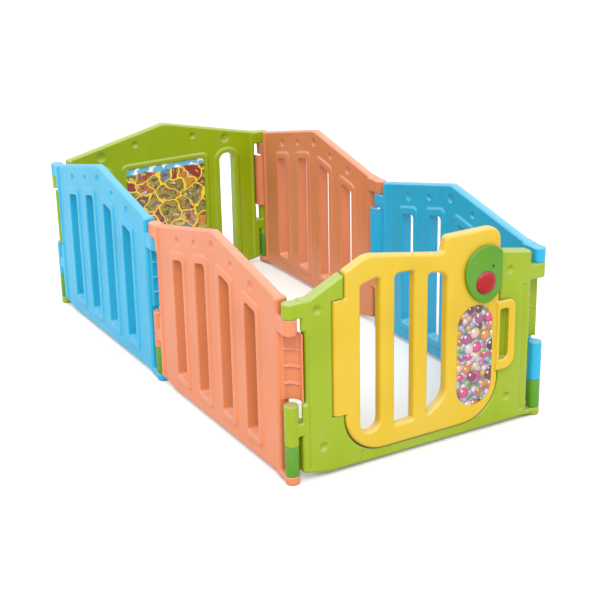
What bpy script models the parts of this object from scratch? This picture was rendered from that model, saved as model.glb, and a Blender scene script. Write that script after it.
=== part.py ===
"""Folding playpen: six blow-moulded plastic panels hinged in a rectangle, one of them a gate.

Units are metres, +Z up. The origin is on the floor at the centre of the pen. The gate faces -Y and
the picture panel stands opposite it. Every panel is modelled in its own frame: x runs along the panel
from the hinge axis at its lug end to the axis at its neck end, y points into the pen, z is up.
"""
import math

import bmesh
import bpy
from mathutils import Matrix, Vector

# ---- driving dimensions -------------------------------------------------------------------------
PITCH = 0.800            # hinge axis to hinge axis along one panel
THICK = 0.037            # gate frame, panel ends and the raised slot frames
FIELD_THICK = 0.028      # field of the side and picture panels
EDGE = 0.006             # softening of the panel's outer edges
GAP = 0.0003             # air between pieces that touch

PEAK_TOP = 0.592         # top of the gable
PEAK_HALF = 0.006        # half the flat at the peak
END_TOP = 0.512          # top of the panel at its ends
END_FROM_MIDDLE = 0.360  # where the slope meets the level end
END_BLOCK = 0.056        # the thick end reaches this far from the hinge axis
PANEL_FOOT = 0.010       # underside of a panel above the floor
LUG_END = 0.026          # panel body starts this far from the lug axis
LUG_SLANT = 0.046        # and this far on the inner face between the lugs
GUARD_END = 0.036        # and this far where the neighbour's finger guard turns
NECK_END = 0.036         # panel body stops this far from the neck axis

KNUCKLE_R = 0.0195       # radius of lugs, necks, feet
UPPER_LUG = (0.4665, 0.508)
NECK = (0.422, 0.4660)
GUARD = (0.230, 0.4215)
LOWER_LUG = (0.1105, 0.2265)
LOWER_WEB = (0.137, 0.171)
LOCK = (0.0245, 0.1100)
FOOT = (0.0, 0.024)
GUARD_R = (0.0290, 0.0335)
GUARD_RIB_R = 0.0205
GUARD_RIBS = 3
RIB_THICK = 0.004

PIN_R = 0.008            # upper hinge pin
PIN_REACH = 0.034        # how far it enters the neck and the lug
PIN_SIDES = 12
HOLE = 1.04              # a hole is this much wider than the pin that turns in it
STUB_R = 0.010           # stubs of the joint lock
STUB_UP = 0.026
STUB_DOWN = 0.016

SLOT_OFFSETS = (-0.2185, -0.073, 0.073, 0.2185)
SLOT_W = 0.060
SLOT_BOTTOM = 0.070
SLOT_BELOW_TOP = 0.101
FRAME_W = 0.108          # raised frame round a slot
FRAME_BOTTOM = 0.0445
FRAME_BELOW_TOP = 0.0725
FRAME_SLOPE = (0.0115, 0.0050)   # its sloping side: across the panel, and through it
BIG_DIMPLES, SMALL_DIMPLES = (-0.220, 0.0, 0.220), (-0.110, 0.110)
DIMPLE_BELOW_TOP = 0.043
BIG_DIMPLE_R, SMALL_DIMPLE_R = 0.015, 0.011
DIMPLE_DEPTH = 0.006
GROOVES = ((0.047, 0.005), (0.742, 0.012))   # gate frame: middle x, width
GROOVE_DEPTH = 0.003
GROOVE_Z = (0.032, 0.416)

FRONT_PROUD = 0.0435     # foremost point, the red button, in front of the gate's middle plane
Y_SHIFT = (FRONT_PROUD - KNUCKLE_R) / 2

# ---- the gate -----------------------------------------------------------------------------------
DOOR_AXIS = (0.1336, -0.0066)      # x, y in the gate's frame
DOOR_THICK = 0.032
DOOR_LEFT, DOOR_RIGHT = 0.154, 0.652
DOOR_BOTTOM = 0.040
DOOR_EDGE = 0.007
EAR_Z = (0.1675, 0.4925)
EAR_R = DOOR_THICK / 2
POST_LEFT = 0.1515                 # right edge of the left post
POST_NOTCH = 0.114                 # the same beside the door's ear
POST_RIGHT = 0.6555
STOP_LEFT, STOP_RIGHT = 0.166, 0.640   # rear lip that the door shuts against
STOP_Y = 0.0102
SILL_TOP = 0.0375
SILL_STOP_TOP = 0.080
NOTCH_Z = (0.166, 0.494)
CORNER_R = 0.120                   # big lower corners of the door
DOOR_SLOT_LEFT = (0.201, 0.308, 0.4145)
DOOR_SLOT_W = 0.060
DOOR_PIN_R = 0.005
DOOR_PIN_REACH = 0.016
HANDLE_X = (0.640, 0.704)
HANDLE_Z = (0.180, 0.386)
HANDLE_Y = (-0.0305, -0.0189)
HANDLE_HOLE = (0.651, 0.6805, 0.211, 0.361)
FINGER_ROOM = (0.6575, 0.6800, 0.213, 0.359)

BUTTON_AT = (0.594, 0.453)
BUTTON_R = 0.0325
BUTTON_TRAVEL = 0.003
EGG_AT = (0.598, 0.4875)
EGG_TOP_R, EGG_DROP, EGG_POWER = 0.070, 0.0945, 1.65
EGG_CUT_X = 0.6505
TUB_INSET = 0.013
PLATE_Y = (-0.0335, -0.0229)       # front plate of the sound module
LED_AT = (0.6175, 0.4965)
SCREW_AT = (EGG_AT[0] - 0.030, 0.520)

BOARD = (0.247, 0.552, 0.188, 0.447)   # picture board: x0, x1, z0, z1
BOARD_POCKET = 0.008
BOARD_THICK = 0.003
PLAY_SLOTS = (0.155, 0.645)            # middles of the slots beside the board
PLAY_SLOT_TOP = 0.450
PLAY_FRAME_TOP = 0.472
PLAY_DIMPLES = ((0.241, 0.034, 0.018), (0.112, 0.036, 0.012))   # from the middle, below the top, radius
BOARD_RIM = 0.020
STICKER = (0.569, 0.118, 0.094, 0.390)   # middle x, width, z0, z1

# ---- colours (linear RGB), roughness ------------------------------------------------------------
ORANGE = (0.90, 0.40, 0.24)
BLUE = (0.09, 0.51, 0.80)
LIME = (0.41, 0.55, 0.02)
YELLOW = (0.84, 0.58, 0.06)
GREEN = (0.15, 0.45, 0.03)
RED = (0.58, 0.01, 0.015)
GREY = (0.35, 0.36, 0.37)
STEEL = (0.60, 0.60, 0.62)
BOARD_GREEN = (0.05, 0.25, 0.08)
PAPER = (0.75, 0.45, 0.40)
BLACK = (0.02, 0.02, 0.02)


def gable(x):
    """Height of the panel's top edge at x."""
    slope = (PEAK_TOP - END_TOP) / (END_FROM_MIDDLE - PEAK_HALF)
    out = min(max(abs(x - PITCH / 2) - PEAK_HALF, 0), END_FROM_MIDDLE - PEAK_HALF)
    return PEAK_TOP - slope * out


# ---- collections, materials, placing ------------------------------------------------------------
def start():
    for obj in list(bpy.data.objects):
        bpy.data.objects.remove(obj)
    parts = bpy.data.collections.new("playpen")
    cutters = bpy.data.collections.new("cutters")
    for coll in (parts, cutters):
        bpy.context.scene.collection.children.link(coll)
    return parts, cutters


PARTS, CUTTERS = start()


def material(name, colour, roughness=0.35, metallic=0.0):
    found = bpy.data.materials.get(name)
    if found:
        return found
    made = bpy.data.materials.new(name)
    made.use_nodes = True
    shader = made.node_tree.nodes["Principled BSDF"]
    shader.inputs["Base Color"].default_value = (*colour, 1)
    shader.inputs["Roughness"].default_value = roughness
    shader.inputs["Metallic"].default_value = metallic
    made.diffuse_color = (*colour, 1)
    return made


def new_object(name, mesh, coll=None):
    obj = bpy.data.objects.new(name, mesh)
    (coll or CUTTERS).objects.link(obj)
    if coll is None:
        obj.hide_render = True
        obj.display_type = "WIRE"
    return obj


def paint(obj, look):
    """Give one object its own material, even where it shares its mesh."""
    if not obj.data.materials:
        obj.data.materials.append(None)
    obj.material_slots[0].link = "OBJECT"
    obj.material_slots[0].material = material(*look)


# ---- outlines -----------------------------------------------------------------------------------
def rounded(corners, steps=2):
    """Closed outline from (x, z, radius) corners, each radius drawn as an arc."""
    points = []
    count = len(corners)
    for i, (x, z, radius) in enumerate(corners):
        here = Vector((x, z))
        if not radius:
            points.append(here)
            continue
        before = (Vector(corners[i - 1][:2]) - here).normalized()
        after = (Vector(corners[(i + 1) % count][:2]) - here).normalized()
        half = before.angle(after) / 2
        centre = here + (before + after).normalized() * radius / math.sin(half)
        start_at = here + before * radius / math.tan(half) - centre
        end_at = here + after * radius / math.tan(half) - centre
        turn = start_at.angle_signed(end_at)
        for k in range(steps + 1):
            spin = Matrix.Rotation(-turn * k / steps, 2)
            points.append(centre + spin @ start_at)
    return points


def arc(centre, radius, start_deg, end_deg, steps):
    angles = [math.radians(start_deg + (end_deg - start_deg) * k / steps) for k in range(steps + 1)]
    return [Vector((centre[0] + radius * math.cos(a), centre[1] + radius * math.sin(a))) for a in angles]


def plate(name, loops, thick, edge=0.0, smooth=0, upright=True):
    """Mesh object of a flat outline with holes; upright plates stand in XZ, others lie in XY."""
    curve = bpy.data.curves.new(name, "CURVE")
    curve.dimensions = "2D"
    curve.fill_mode = "BOTH"
    curve.extrude = thick / 2 - edge
    curve.bevel_depth = edge
    curve.bevel_resolution = smooth
    curve.offset = -edge
    for loop in loops:
        spline = curve.splines.new("POLY")
        spline.points.add(len(loop) - 1)
        for point, (x, z) in zip(spline.points, loop):
            point.co = (x, z, 0, 1)
        spline.use_cyclic_u = True
    drawn = new_object(name, curve)
    if upright:
        drawn.rotation_euler.x = math.pi / 2
    bpy.context.view_layer.update()
    mesh = bpy.data.meshes.new_from_object(drawn.evaluated_get(bpy.context.evaluated_depsgraph_get()))
    mesh.transform(drawn.matrix_world)
    bpy.data.objects.remove(drawn)
    bpy.data.curves.remove(curve)
    clean(mesh)
    return mesh


def clean(mesh):
    bm = bmesh.new()
    bm.from_mesh(mesh)
    bmesh.ops.remove_doubles(bm, verts=bm.verts, dist=0.000001)
    bmesh.ops.recalc_face_normals(bm, faces=bm.faces)
    bm.to_mesh(mesh)
    bm.free()


def moved(mesh, x=0.0, y=0.0, z=0.0):
    mesh.transform(Matrix.Translation((x, y, z)))
    return mesh


def post(radius, low, high, at=(0.0, 0.0), segments=16, soft=0.0):
    """Upright cylinder, its ends softened by a small chamfer."""
    bm = bmesh.new()
    bmesh.ops.create_cone(bm, cap_ends=True, segments=segments, radius1=radius, radius2=radius,
                          depth=high - low)
    if soft:
        rims = [e for e in bm.edges if abs(e.verts[0].co.z - e.verts[1].co.z) < 1e-6]
        bmesh.ops.bevel(bm, geom=rims, offset=soft, segments=1, affect="EDGES")
    bmesh.ops.translate(bm, verts=bm.verts, vec=(at[0], at[1], (low + high) / 2))
    mesh = bpy.data.meshes.new("post")
    bm.to_mesh(mesh)
    bm.free()
    return mesh


def block(x, y, z):
    """Box from three (low, high) pairs."""
    bm = bmesh.new()
    bmesh.ops.create_cube(bm, size=1)
    sizes = [pair[1] - pair[0] for pair in (x, y, z)]
    middle = [(pair[1] + pair[0]) / 2 for pair in (x, y, z)]
    bmesh.ops.scale(bm, verts=bm.verts, vec=sizes)
    bmesh.ops.translate(bm, verts=bm.verts, vec=middle)
    mesh = bpy.data.meshes.new("block")
    bm.to_mesh(mesh)
    bm.free()
    return mesh


def disc(radius, y, at, radius_back=None, segments=28):
    """Round piece lying along Y, from y[0] to y[1]; radius is its front (-Y) radius."""
    back = radius if radius_back is None else radius_back
    bm = bmesh.new()
    bmesh.ops.create_cone(bm, cap_ends=True, segments=segments, radius1=back, radius2=radius,
                          depth=y[1] - y[0])
    bmesh.ops.rotate(bm, verts=bm.verts, matrix=Matrix.Rotation(math.pi / 2, 3, "X"))
    bmesh.ops.translate(bm, verts=bm.verts, vec=(at[0], (y[0] + y[1]) / 2, at[1]))
    mesh = bpy.data.meshes.new("disc")
    bm.to_mesh(mesh)
    bm.free()
    return mesh


def joined(meshes):
    """Separate closed shapes in one mesh, for one cutter."""
    bm = bmesh.new()
    for mesh in meshes:
        bm.from_mesh(mesh)
        bpy.data.meshes.remove(mesh)
    made = bpy.data.meshes.new("joined")
    bm.to_mesh(made)
    bm.free()
    return made


def carve(base, steps):
    """Apply (operation, mesh) Boolean steps to a mesh and return the result."""
    body = new_object("body", base)
    tools = []
    for operation, mesh in steps:
        tool = new_object("cutter", mesh)
        tools.append(tool)
        boolean = body.modifiers.new(operation.lower(), "BOOLEAN")
        boolean.operation = operation
        boolean.object = tool
        boolean.solver = "EXACT"
    bpy.context.view_layer.update()
    result = bpy.data.meshes.new_from_object(body.evaluated_get(bpy.context.evaluated_depsgraph_get()))
    for obj in (body, *tools):
        bpy.data.objects.remove(obj)
    clean(result)
    return result


# ---- panel pieces -------------------------------------------------------------------------------
def lug_edge(inset=0.0):
    """The panel's edge at its lug end, from the top down, set back beside the finger guard."""
    end, back = LUG_END + inset, GUARD_END + inset
    return [(end, GUARD[1] + 0.0085, 0), (back, GUARD[1] + 0.002, 0),
            (back, GUARD[0] - 0.002, 0), (end, GUARD[0] - 0.0085, 0)]


def panel_outline():
    """Gabled outline of a panel, counter-clockwise."""
    middle = PITCH / 2
    right = PITCH - NECK_END
    return rounded([
        (LUG_END, 0.026, 0.009), (0.100, PANEL_FOOT, 0), (right, PANEL_FOOT, 0),
        (right, END_TOP, 0.010), (middle + PEAK_HALF, PEAK_TOP, 0.04),
        (middle - PEAK_HALF, PEAK_TOP, 0.04),
        (middle - END_FROM_MIDDLE, END_TOP, 0), (LUG_END, END_TOP, 0),
        *lug_edge(),
    ])


def slot_outline(middle, width, bottom, below_top, radius, steps=2):
    """Upright slot whose top runs parallel to the gable."""
    left, right = middle - width / 2, middle + width / 2
    return rounded([
        (left, bottom, radius), (right, bottom, radius),
        (right, gable(right) - below_top, radius), (left, gable(left) - below_top, radius),
    ], steps)


def slot_cut(middle):
    outline = slot_outline(middle, SLOT_W, SLOT_BOTTOM, SLOT_BELOW_TOP, 0.012)
    return plate("slot", [outline], THICK * 2)


def round_topped(middle, width, bottom, top, low_radius, radius, steps=4):
    """Upright outline with a level, well rounded top."""
    left, right = middle - width / 2, middle + width / 2
    return rounded([(left, bottom, low_radius), (right, bottom, low_radius),
                    (right, top, radius), (left, top, radius)], steps)


def raised(outline):
    """Raised frame with sloping sides, standing out of both faces."""
    across, through = FRAME_SLOPE
    mesh = plate("slot_frame", [outline], THICK * across / through, across)
    mesh.transform(Matrix.Diagonal((1, through / across, 1, 1)))
    return mesh


def slot_frame(middle):
    return raised(slot_outline(middle, FRAME_W, FRAME_BOTTOM, FRAME_BELOW_TOP, 0.022))


def end_blocks(inset=0.0004):
    """Thick upright strips at both ends of a panel, a hair inside its outline."""
    near, far = END_BLOCK, PITCH - END_BLOCK
    left, right = LUG_END + inset, PITCH - NECK_END - inset
    top, foot = END_TOP - inset, PANEL_FOOT + inset
    lug_side = rounded([
        (left, 0.027, 0.009), (near, 0.0205, 0), (near, gable(near) - inset, 0),
        (PITCH / 2 - END_FROM_MIDDLE, top, 0), (left, top, 0), *lug_edge(inset),
    ])
    neck_side = rounded([
        (far, foot, 0), (right, foot, 0), (right, top, 0.010), (far, gable(far) - inset, 0),
    ])
    return [plate("lug_side", [lug_side], THICK, EDGE), plate("neck_side", [neck_side], THICK, EDGE)]


def lug_slant():
    """Cut that slants the inner corner of the lug end between the two lugs."""
    out = THICK
    shape = [Vector(p) for p in ((LUG_END - 0.0005, -0.009), (LUG_SLANT, THICK / 2 + 0.001),
                                 (LUG_SLANT, out), (LUG_END - 0.0005, out))]
    low, high = LOWER_WEB[1] + 0.002, UPPER_LUG[0] - 0.0005
    return moved(plate("slant", [shape], high - low, upright=False), z=(low + high) / 2)


def dimple_cuts(places, thick=THICK):
    """Round tack dimples in both faces; places are (x, z, radius)."""
    cuts = []
    for x, z, radius in places:
        for side in (-1, 1):
            outer = side * (thick / 2 + 0.001)
            inner = side * (thick / 2 - DIMPLE_DEPTH)
            low, high = min(outer, inner), max(outer, inner)
            front, back = (radius, radius / 2) if side < 0 else (radius / 2, radius)
            cuts.append(disc(front, (low, high), (x, z), back, 8))
    return cuts


def row_of_dimples(bigs, smalls):
    middle = PITCH / 2
    places = [(middle + x, BIG_DIMPLE_R) for x in bigs] + [(middle + x, SMALL_DIMPLE_R) for x in smalls]
    return dimple_cuts([(x, gable(x) - DIMPLE_BELOW_TOP, r) for x, r in places], FIELD_THICK)


def groove_cuts():
    """Upright grooves near both ends of the gate's frame, in both faces."""
    cuts = []
    for x, width in GROOVES:
        for side in (-1, 1):
            ys = sorted((side * (THICK / 2 - GROOVE_DEPTH), side * (THICK / 2 + 0.002)))
            cuts.append(block((x - width / 2, x + width / 2), ys, GROOVE_Z))
    return cuts


def knuckle(low, high, axis_x, body_x, web=None, soft=0.002):
    """Round knuckle on an axis, with the web that joins it to the panel body."""
    web_low, web_high = web or (low, high)
    half = THICK / 2 - 0.0008
    tab = block(sorted((axis_x, body_x)), (-half, half), (web_low + 0.0004, web_high - 0.0004))
    return [("UNION", tab), ("UNION", post(KNUCKLE_R, low, high, (axis_x, 0), soft=soft))]


def guard_steps():
    """Finger guard: a curved wall inside the axis, with level ribs."""
    axis = (PITCH, 0)
    first, last, steps = 188, 50, 6
    wall = arc(axis, GUARD_R[1], first, last, steps) + arc(axis, GUARD_R[0], last, first, steps)
    rib_first, rib_last = first - 4, last + 38
    rib = arc(axis, GUARD_R[1] - 0.002, rib_first, rib_last, 3)
    rib += arc(axis, GUARD_RIB_R, rib_last, rib_first, 3)
    middle, height = (GUARD[0] + GUARD[1]) / 2, GUARD[1] - GUARD[0]
    ribs = [moved(plate("rib", [rib], RIB_THICK, upright=False),
                  z=GUARD[0] + height * (k + 1) / (GUARD_RIBS + 1)) for k in range(GUARD_RIBS)]
    web = block((PITCH - NECK_END - 0.004, PITCH - 0.0295), (-0.002, 0.014),
                (GUARD[0] + 0.001, GUARD[1] - 0.001))
    return [("UNION", moved(plate("guard", [wall], height, upright=False), z=middle)),
            ("UNION", web),
            ("UNION", joined(ribs))]


def end_steps():
    """Lugs at one end, neck, guard and foot at the other, and their pin holes."""
    body_left, body_right = LUG_END + 0.010, PITCH - NECK_END - 0.010
    steps = knuckle(*UPPER_LUG, 0, body_left)
    steps += knuckle(*LOWER_LUG, 0, body_left, LOWER_WEB)
    steps += knuckle(*NECK, PITCH, body_right)
    steps += knuckle(*FOOT, PITCH, body_right, (PANEL_FOOT, FOOT[1]), 0.004)
    steps += guard_steps()
    steps.append(("DIFFERENCE", lug_slant()))
    hole, stub = PIN_R * HOLE, STUB_R * HOLE
    steps.append(("DIFFERENCE", joined([
        post(hole, UPPER_LUG[0] - 0.003, UPPER_LUG[0] + PIN_REACH, segments=PIN_SIDES),
        post(hole, NECK[1] - PIN_REACH, NECK[1] + 0.01, (PITCH, 0), PIN_SIDES),
        post(stub, LOWER_LUG[0] - 0.01, LOWER_LUG[0] + STUB_UP, segments=PIN_SIDES),
        post(stub, FOOT[1] - STUB_DOWN, FOOT[1] + 0.01, (PITCH, 0), PIN_SIDES),
    ])))
    return steps


def side_panel():
    middle = PITCH / 2
    return carve(plate("side", [panel_outline()], FIELD_THICK, EDGE), [
        ("UNION", joined(end_blocks())),
        ("UNION", joined([slot_frame(middle + offset) for offset in SLOT_OFFSETS])),
        ("DIFFERENCE", joined([slot_cut(middle + offset) for offset in SLOT_OFFSETS])),
        ("DIFFERENCE", joined(row_of_dimples(BIG_DIMPLES, SMALL_DIMPLES))),
        *end_steps(),
    ])


def picture_panel():
    """Panel opposite the gate: a rimmed pocket for the picture board, a slot on each side of it."""
    x0, x1, z0, z1 = BOARD
    rim = rounded([(x0 - BOARD_RIM, z0 - BOARD_RIM, 0.026), (x1 + BOARD_RIM, z0 - BOARD_RIM, 0.026),
                   (x1 + BOARD_RIM, z1 + BOARD_RIM, 0.026), (x0 - BOARD_RIM, z1 + BOARD_RIM, 0.026)])
    pocket = rounded([(x0, z0, 0.012), (x1, z0, 0.012), (x1, z1, 0.012), (x0, z1, 0.012)])
    pocket_cut = moved(plate("pocket", [pocket], 2 * BOARD_POCKET), y=THICK / 2)
    slots = [plate("slot", [round_topped(x, SLOT_W, SLOT_BOTTOM, PLAY_SLOT_TOP, 0.012, 0.027)], THICK * 2)
             for x in PLAY_SLOTS]
    frames = [raised(round_topped(x, FRAME_W, FRAME_BOTTOM, PLAY_FRAME_TOP, 0.022, 0.050))
              for x in PLAY_SLOTS]
    dimples = []
    for away, below, radius in PLAY_DIMPLES:
        dimples += [(x, gable(x) - below, radius) for x in (PITCH / 2 - away, PITCH / 2 + away)]
    return carve(plate("picture", [panel_outline()], FIELD_THICK, EDGE), [
        ("UNION", joined(end_blocks())),
        ("UNION", joined(frames + [plate("rim", [rim], THICK, 0.006)])),
        ("DIFFERENCE", joined(slots)),
        ("DIFFERENCE", pocket_cut),
        ("DIFFERENCE", joined(dimple_cuts(dimples, FIELD_THICK))),
        *end_steps(),
    ])


# ---- the gate -----------------------------------------------------------------------------------
def door_corners(grow=0.0):
    """Door outline without its ear, counter-clockwise, grown by the gap to the frame."""
    left, right, low = DOOR_LEFT - grow, DOOR_RIGHT + grow, DOOR_BOTTOM - grow
    return [
        (left, low, CORNER_R), (right, low, CORNER_R),
        (right, 0.603, 0.040), (0.472, 0.603, 0.014), (0.460, 0.558, 0.010),
        (0.223, 0.599, 0.070), (left, 0.566, 0.010),
    ]


def frame_outline():
    """Outline of the gate's frame: its left post rises in a shoulder, its right post slopes down."""
    right = PITCH - NECK_END
    return rounded([
        (LUG_END, 0.026, 0.009), (0.100, PANEL_FOOT, 0), (right, PANEL_FOOT, 0),
        (right, 0.509, 0.010), (POST_RIGHT, 0.529, 0), (POST_RIGHT - 0.020, 0.529, 0),
        (POST_LEFT + 0.020, 0.557, 0), (0.144, 0.557, 0.012), (0.050, END_TOP, 0),
        (LUG_END, END_TOP, 0), *lug_edge(),
    ])


def frame_opening():
    """Pocket that the door shuts into, open at the top, with a notch for the door's ear."""
    grow = DOOR_BOTTOM - SILL_TOP
    top = PEAK_TOP + 0.05
    return rounded([
        (POST_LEFT, DOOR_BOTTOM - grow, CORNER_R), (POST_RIGHT, DOOR_BOTTOM - grow, CORNER_R),
        (POST_RIGHT, top, 0), (POST_LEFT, top, 0), (POST_LEFT, NOTCH_Z[1], 0),
        (POST_NOTCH, NOTCH_Z[1], 0), (POST_NOTCH, NOTCH_Z[0], 0), (POST_LEFT, NOTCH_Z[0], 0),
    ], steps=5)


def opening_chamfer(size=0.003):
    """Chamfer round the front of the pocket, which also lets the door's edge swing past the post."""
    left, right, low = POST_LEFT - size, POST_RIGHT + size, SILL_TOP - size
    top, radius = PEAK_TOP + 0.05, CORNER_R + size
    outline = rounded([(left, low, radius), (right, low, radius), (right, top, 0), (left, top, 0)], 5)
    return moved(plate("chamfer", [outline], 2 * size + 0.0002, size), y=-THICK / 2)


def gate_frame():
    """Left post, sill and right post in one piece, with a rear lip as the door's stop."""
    body = plate("frame", [frame_outline()], THICK, EDGE)
    front = THICK + 0.02
    pocket = moved(plate("pocket", [frame_opening()], front), y=STOP_Y - front / 2)
    top = PEAK_TOP + 0.05
    through = rounded([(STOP_LEFT, SILL_STOP_TOP, 0.060), (STOP_RIGHT, SILL_STOP_TOP, 0.060),
                       (STOP_RIGHT, top, 0), (STOP_LEFT, top, 0)], steps=3)
    finger_room = block(FINGER_ROOM[:2], (-THICK, -THICK / 2 + 0.008), FINGER_ROOM[2:])
    sill_relief = block((0.203, 0.600), (-THICK, -THICK / 2 + 0.003), (-0.01, SILL_TOP + 0.01))
    hole = DOOR_PIN_R * HOLE
    pins = [post(hole, NOTCH_Z[1] - 0.01, NOTCH_Z[1] + DOOR_PIN_REACH, DOOR_AXIS, PIN_SIDES),
            post(hole, NOTCH_Z[0] - DOOR_PIN_REACH, NOTCH_Z[0] + 0.01, DOOR_AXIS, PIN_SIDES)]
    dimples = [(0.072, 0.479, 0.013), (0.086, 0.090, 0.013), (0.688, 0.468, 0.013), (0.688, 0.088, 0.013)]
    return carve(body, [
        ("DIFFERENCE", pocket),
        ("DIFFERENCE", opening_chamfer()),
        ("DIFFERENCE", plate("through", [through], THICK * 2)),
        ("DIFFERENCE", finger_room),
        ("DIFFERENCE", sill_relief),
        ("DIFFERENCE", joined(dimple_cuts(dimples) + groove_cuts())),
        ("DIFFERENCE", joined(pins)),
        *end_steps(),
    ])


def egg(inset=0.0, steps=24):
    """Egg outline, big end up, cut straight where the door ends."""
    points = []
    for k in range(steps):
        angle = 2 * math.pi * k / steps
        x = (EGG_TOP_R - inset) * math.cos(angle)
        z = (EGG_TOP_R - inset) * math.sin(angle)
        if z < 0:
            z = (EGG_DROP - inset) * math.sin(angle)
            x = (EGG_TOP_R - inset) * math.copysign(
                abs(math.cos(angle)) ** (2 / EGG_POWER), math.cos(angle))
        points.append(Vector((min(EGG_AT[0] + x, EGG_CUT_X - inset), EGG_AT[1] + z)))
    kept = []
    for point in points:
        if len(kept) > 1 and abs(point.x - kept[-1].x) + abs(point.x - kept[-2].x) < 1e-7:
            kept[-1] = point
        else:
            kept.append(point)
    return kept


def door_slots():
    """Three upright openings: the first rises with the door's shoulder, the last ends in a curve."""
    first, second, third = DOOR_SLOT_LEFT
    w = DOOR_SLOT_W
    return [
        rounded([(first, 0.098, 0.028), (first + w, 0.098, 0.028),
                 (first + w, 0.533, 0.012), (first, 0.519, 0.012)], 4),
        rounded([(second, 0.098, 0.008), (second + w, 0.098, 0.008),
                 (second + w, 0.528, 0.012), (second, 0.530, 0.012)], 3),
        rounded([(third, 0.098, 0.006), (third + w, 0.140, 0.060),
                 (third + w, 0.500, 0.030), (third, 0.512, 0.010)], 4),
    ]


def door():
    axis_x, axis_y = DOOR_AXIS
    slab = moved(plate("door", [rounded(door_corners(), 5), *door_slots()], DOOR_THICK, DOOR_EDGE),
                 y=axis_y)
    ear = block((axis_x, DOOR_LEFT + 0.010), (axis_y - EAR_R, axis_y + EAR_R), EAR_Z)
    x0, x1 = HANDLE_X
    z0, z1 = HANDLE_Z
    outer = rounded([(x0, z0, 0), (x1, z0, 0.036), (x1, z1, 0.024), (x0, z1, 0)], 4)
    h0, h1, low, high = HANDLE_HOLE
    inner = rounded([(h0, low, 0.003), (h1, low, 0.016), (h1, high, 0.010), (h0, high, 0.003)], 3)
    handle = moved(plate("handle", [outer, inner], HANDLE_Y[1] - HANDLE_Y[0], 0.0025),
                   y=sum(HANDLE_Y) / 2)
    tub_room = plate("tub_room", [egg(TUB_INSET - 0.0004)], 0.2)
    hole = DOOR_PIN_R * HOLE
    pins = [post(hole, EAR_Z[1] - DOOR_PIN_REACH, EAR_Z[1] + 0.01, DOOR_AXIS, PIN_SIDES),
            post(hole, EAR_Z[0] - 0.01, EAR_Z[0] + DOOR_PIN_REACH, DOOR_AXIS, PIN_SIDES)]
    return carve(slab, [
        ("UNION", ear),
        ("UNION", post(EAR_R + 0.00002, EAR_Z[0] + 0.0001, EAR_Z[1] - 0.0001, DOOR_AXIS, 32)),
        ("UNION", handle),
        ("DIFFERENCE", tub_room),
        ("DIFFERENCE", joined(pins)),
    ])


# ---- sound module -------------------------------------------------------------------------------
DOOR_BACK = DOOR_AXIS[1] + DOOR_THICK / 2
TUB_WALL = 0.0025


def sound_housing():
    """Egg-shaped front plate with a tub behind it that passes through the door."""
    front, seat = PLATE_Y
    face = moved(plate("face", [egg()], seat - front, 0.003), y=(front + seat) / 2)
    tub_back = DOOR_BACK - 0.0035
    tub_front = front + 0.004
    tub = moved(plate("tub", [egg(TUB_INSET)], tub_back - tub_front), y=(tub_front + tub_back) / 2)
    room = moved(plate("room", [egg(TUB_INSET + TUB_WALL)], 0.1), y=front + 0.053)
    return carve(face, [
        ("UNION", tub),
        ("DIFFERENCE", room),
        ("DIFFERENCE", disc(BUTTON_R + 0.0006, (-0.1, 0), BUTTON_AT)),
        ("DIFFERENCE", disc(0.004 + GAP, (-0.1, 0), LED_AT, segments=12)),
    ])


def button():
    """Domed cap, turned about its own axis, with a flange that the housing holds back."""
    rim, front, flange = PLATE_Y[0], -FRONT_PROUD, PLATE_Y[0] + 0.0066
    bm = bmesh.new()
    rise = rim - front
    profile = [(0, front)]
    profile += [(BUTTON_R * math.sin(a), rim - rise * math.cos(a))
                for a in (math.radians(15 * k) for k in range(1, 7))]
    profile += [(BUTTON_R, flange), (BUTTON_R + 0.003, flange), (BUTTON_R + 0.003, flange + 0.0025),
                (0.006, flange + 0.0025), (0.006, flange + 0.0045), (0, flange + 0.0045)]
    points = [bm.verts.new((r, y, 0)) for r, y in profile]
    for a, b in zip(points, points[1:]):
        bm.edges.new((a, b))
    mesh = bpy.data.meshes.new("button")
    bm.to_mesh(mesh)
    bm.free()
    turned = new_object("turned", mesh)
    screw = turned.modifiers.new("turn", "SCREW")
    screw.axis = "Y"
    screw.steps = screw.render_steps = 24
    screw.use_merge_vertices = True
    screw.merge_threshold = 0.00001
    bpy.context.view_layer.update()
    result = bpy.data.meshes.new_from_object(turned.evaluated_get(bpy.context.evaluated_depsgraph_get()))
    bpy.data.objects.remove(turned)
    clean(result)
    return moved(result, BUTTON_AT[0], 0, BUTTON_AT[1])


def coil_spring(low, high):
    """Return spring: an open coil standing between the circuit board and the button."""
    curve = bpy.data.curves.new("coil", "CURVE")
    curve.dimensions = "3D"
    curve.bevel_depth = 0.0005
    curve.bevel_resolution = 1
    curve.use_fill_caps = True
    turns, per_turn, radius = 3, 10, 0.0085
    spline = curve.splines.new("POLY")
    spline.points.add(turns * per_turn)
    for k, point in enumerate(spline.points):
        angle = 2 * math.pi * k / per_turn
        y = low + (high - low) * k / (turns * per_turn)
        point.co = (radius * math.cos(angle), y, radius * math.sin(angle), 1)
    drawn = new_object("coil", curve)
    bpy.context.view_layer.update()
    mesh = bpy.data.meshes.new_from_object(drawn.evaluated_get(bpy.context.evaluated_depsgraph_get()))
    bpy.data.objects.remove(drawn)
    clean(mesh)
    return moved(mesh, BUTTON_AT[0], 0, BUTTON_AT[1])


# ---- assembly -----------------------------------------------------------------------------------
FRONT_Y, MIDDLE_Y, REAR_Y = (Y_SHIFT + k * PITCH for k in (-1, 0, 1))
HALF = PITCH / 2
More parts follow.
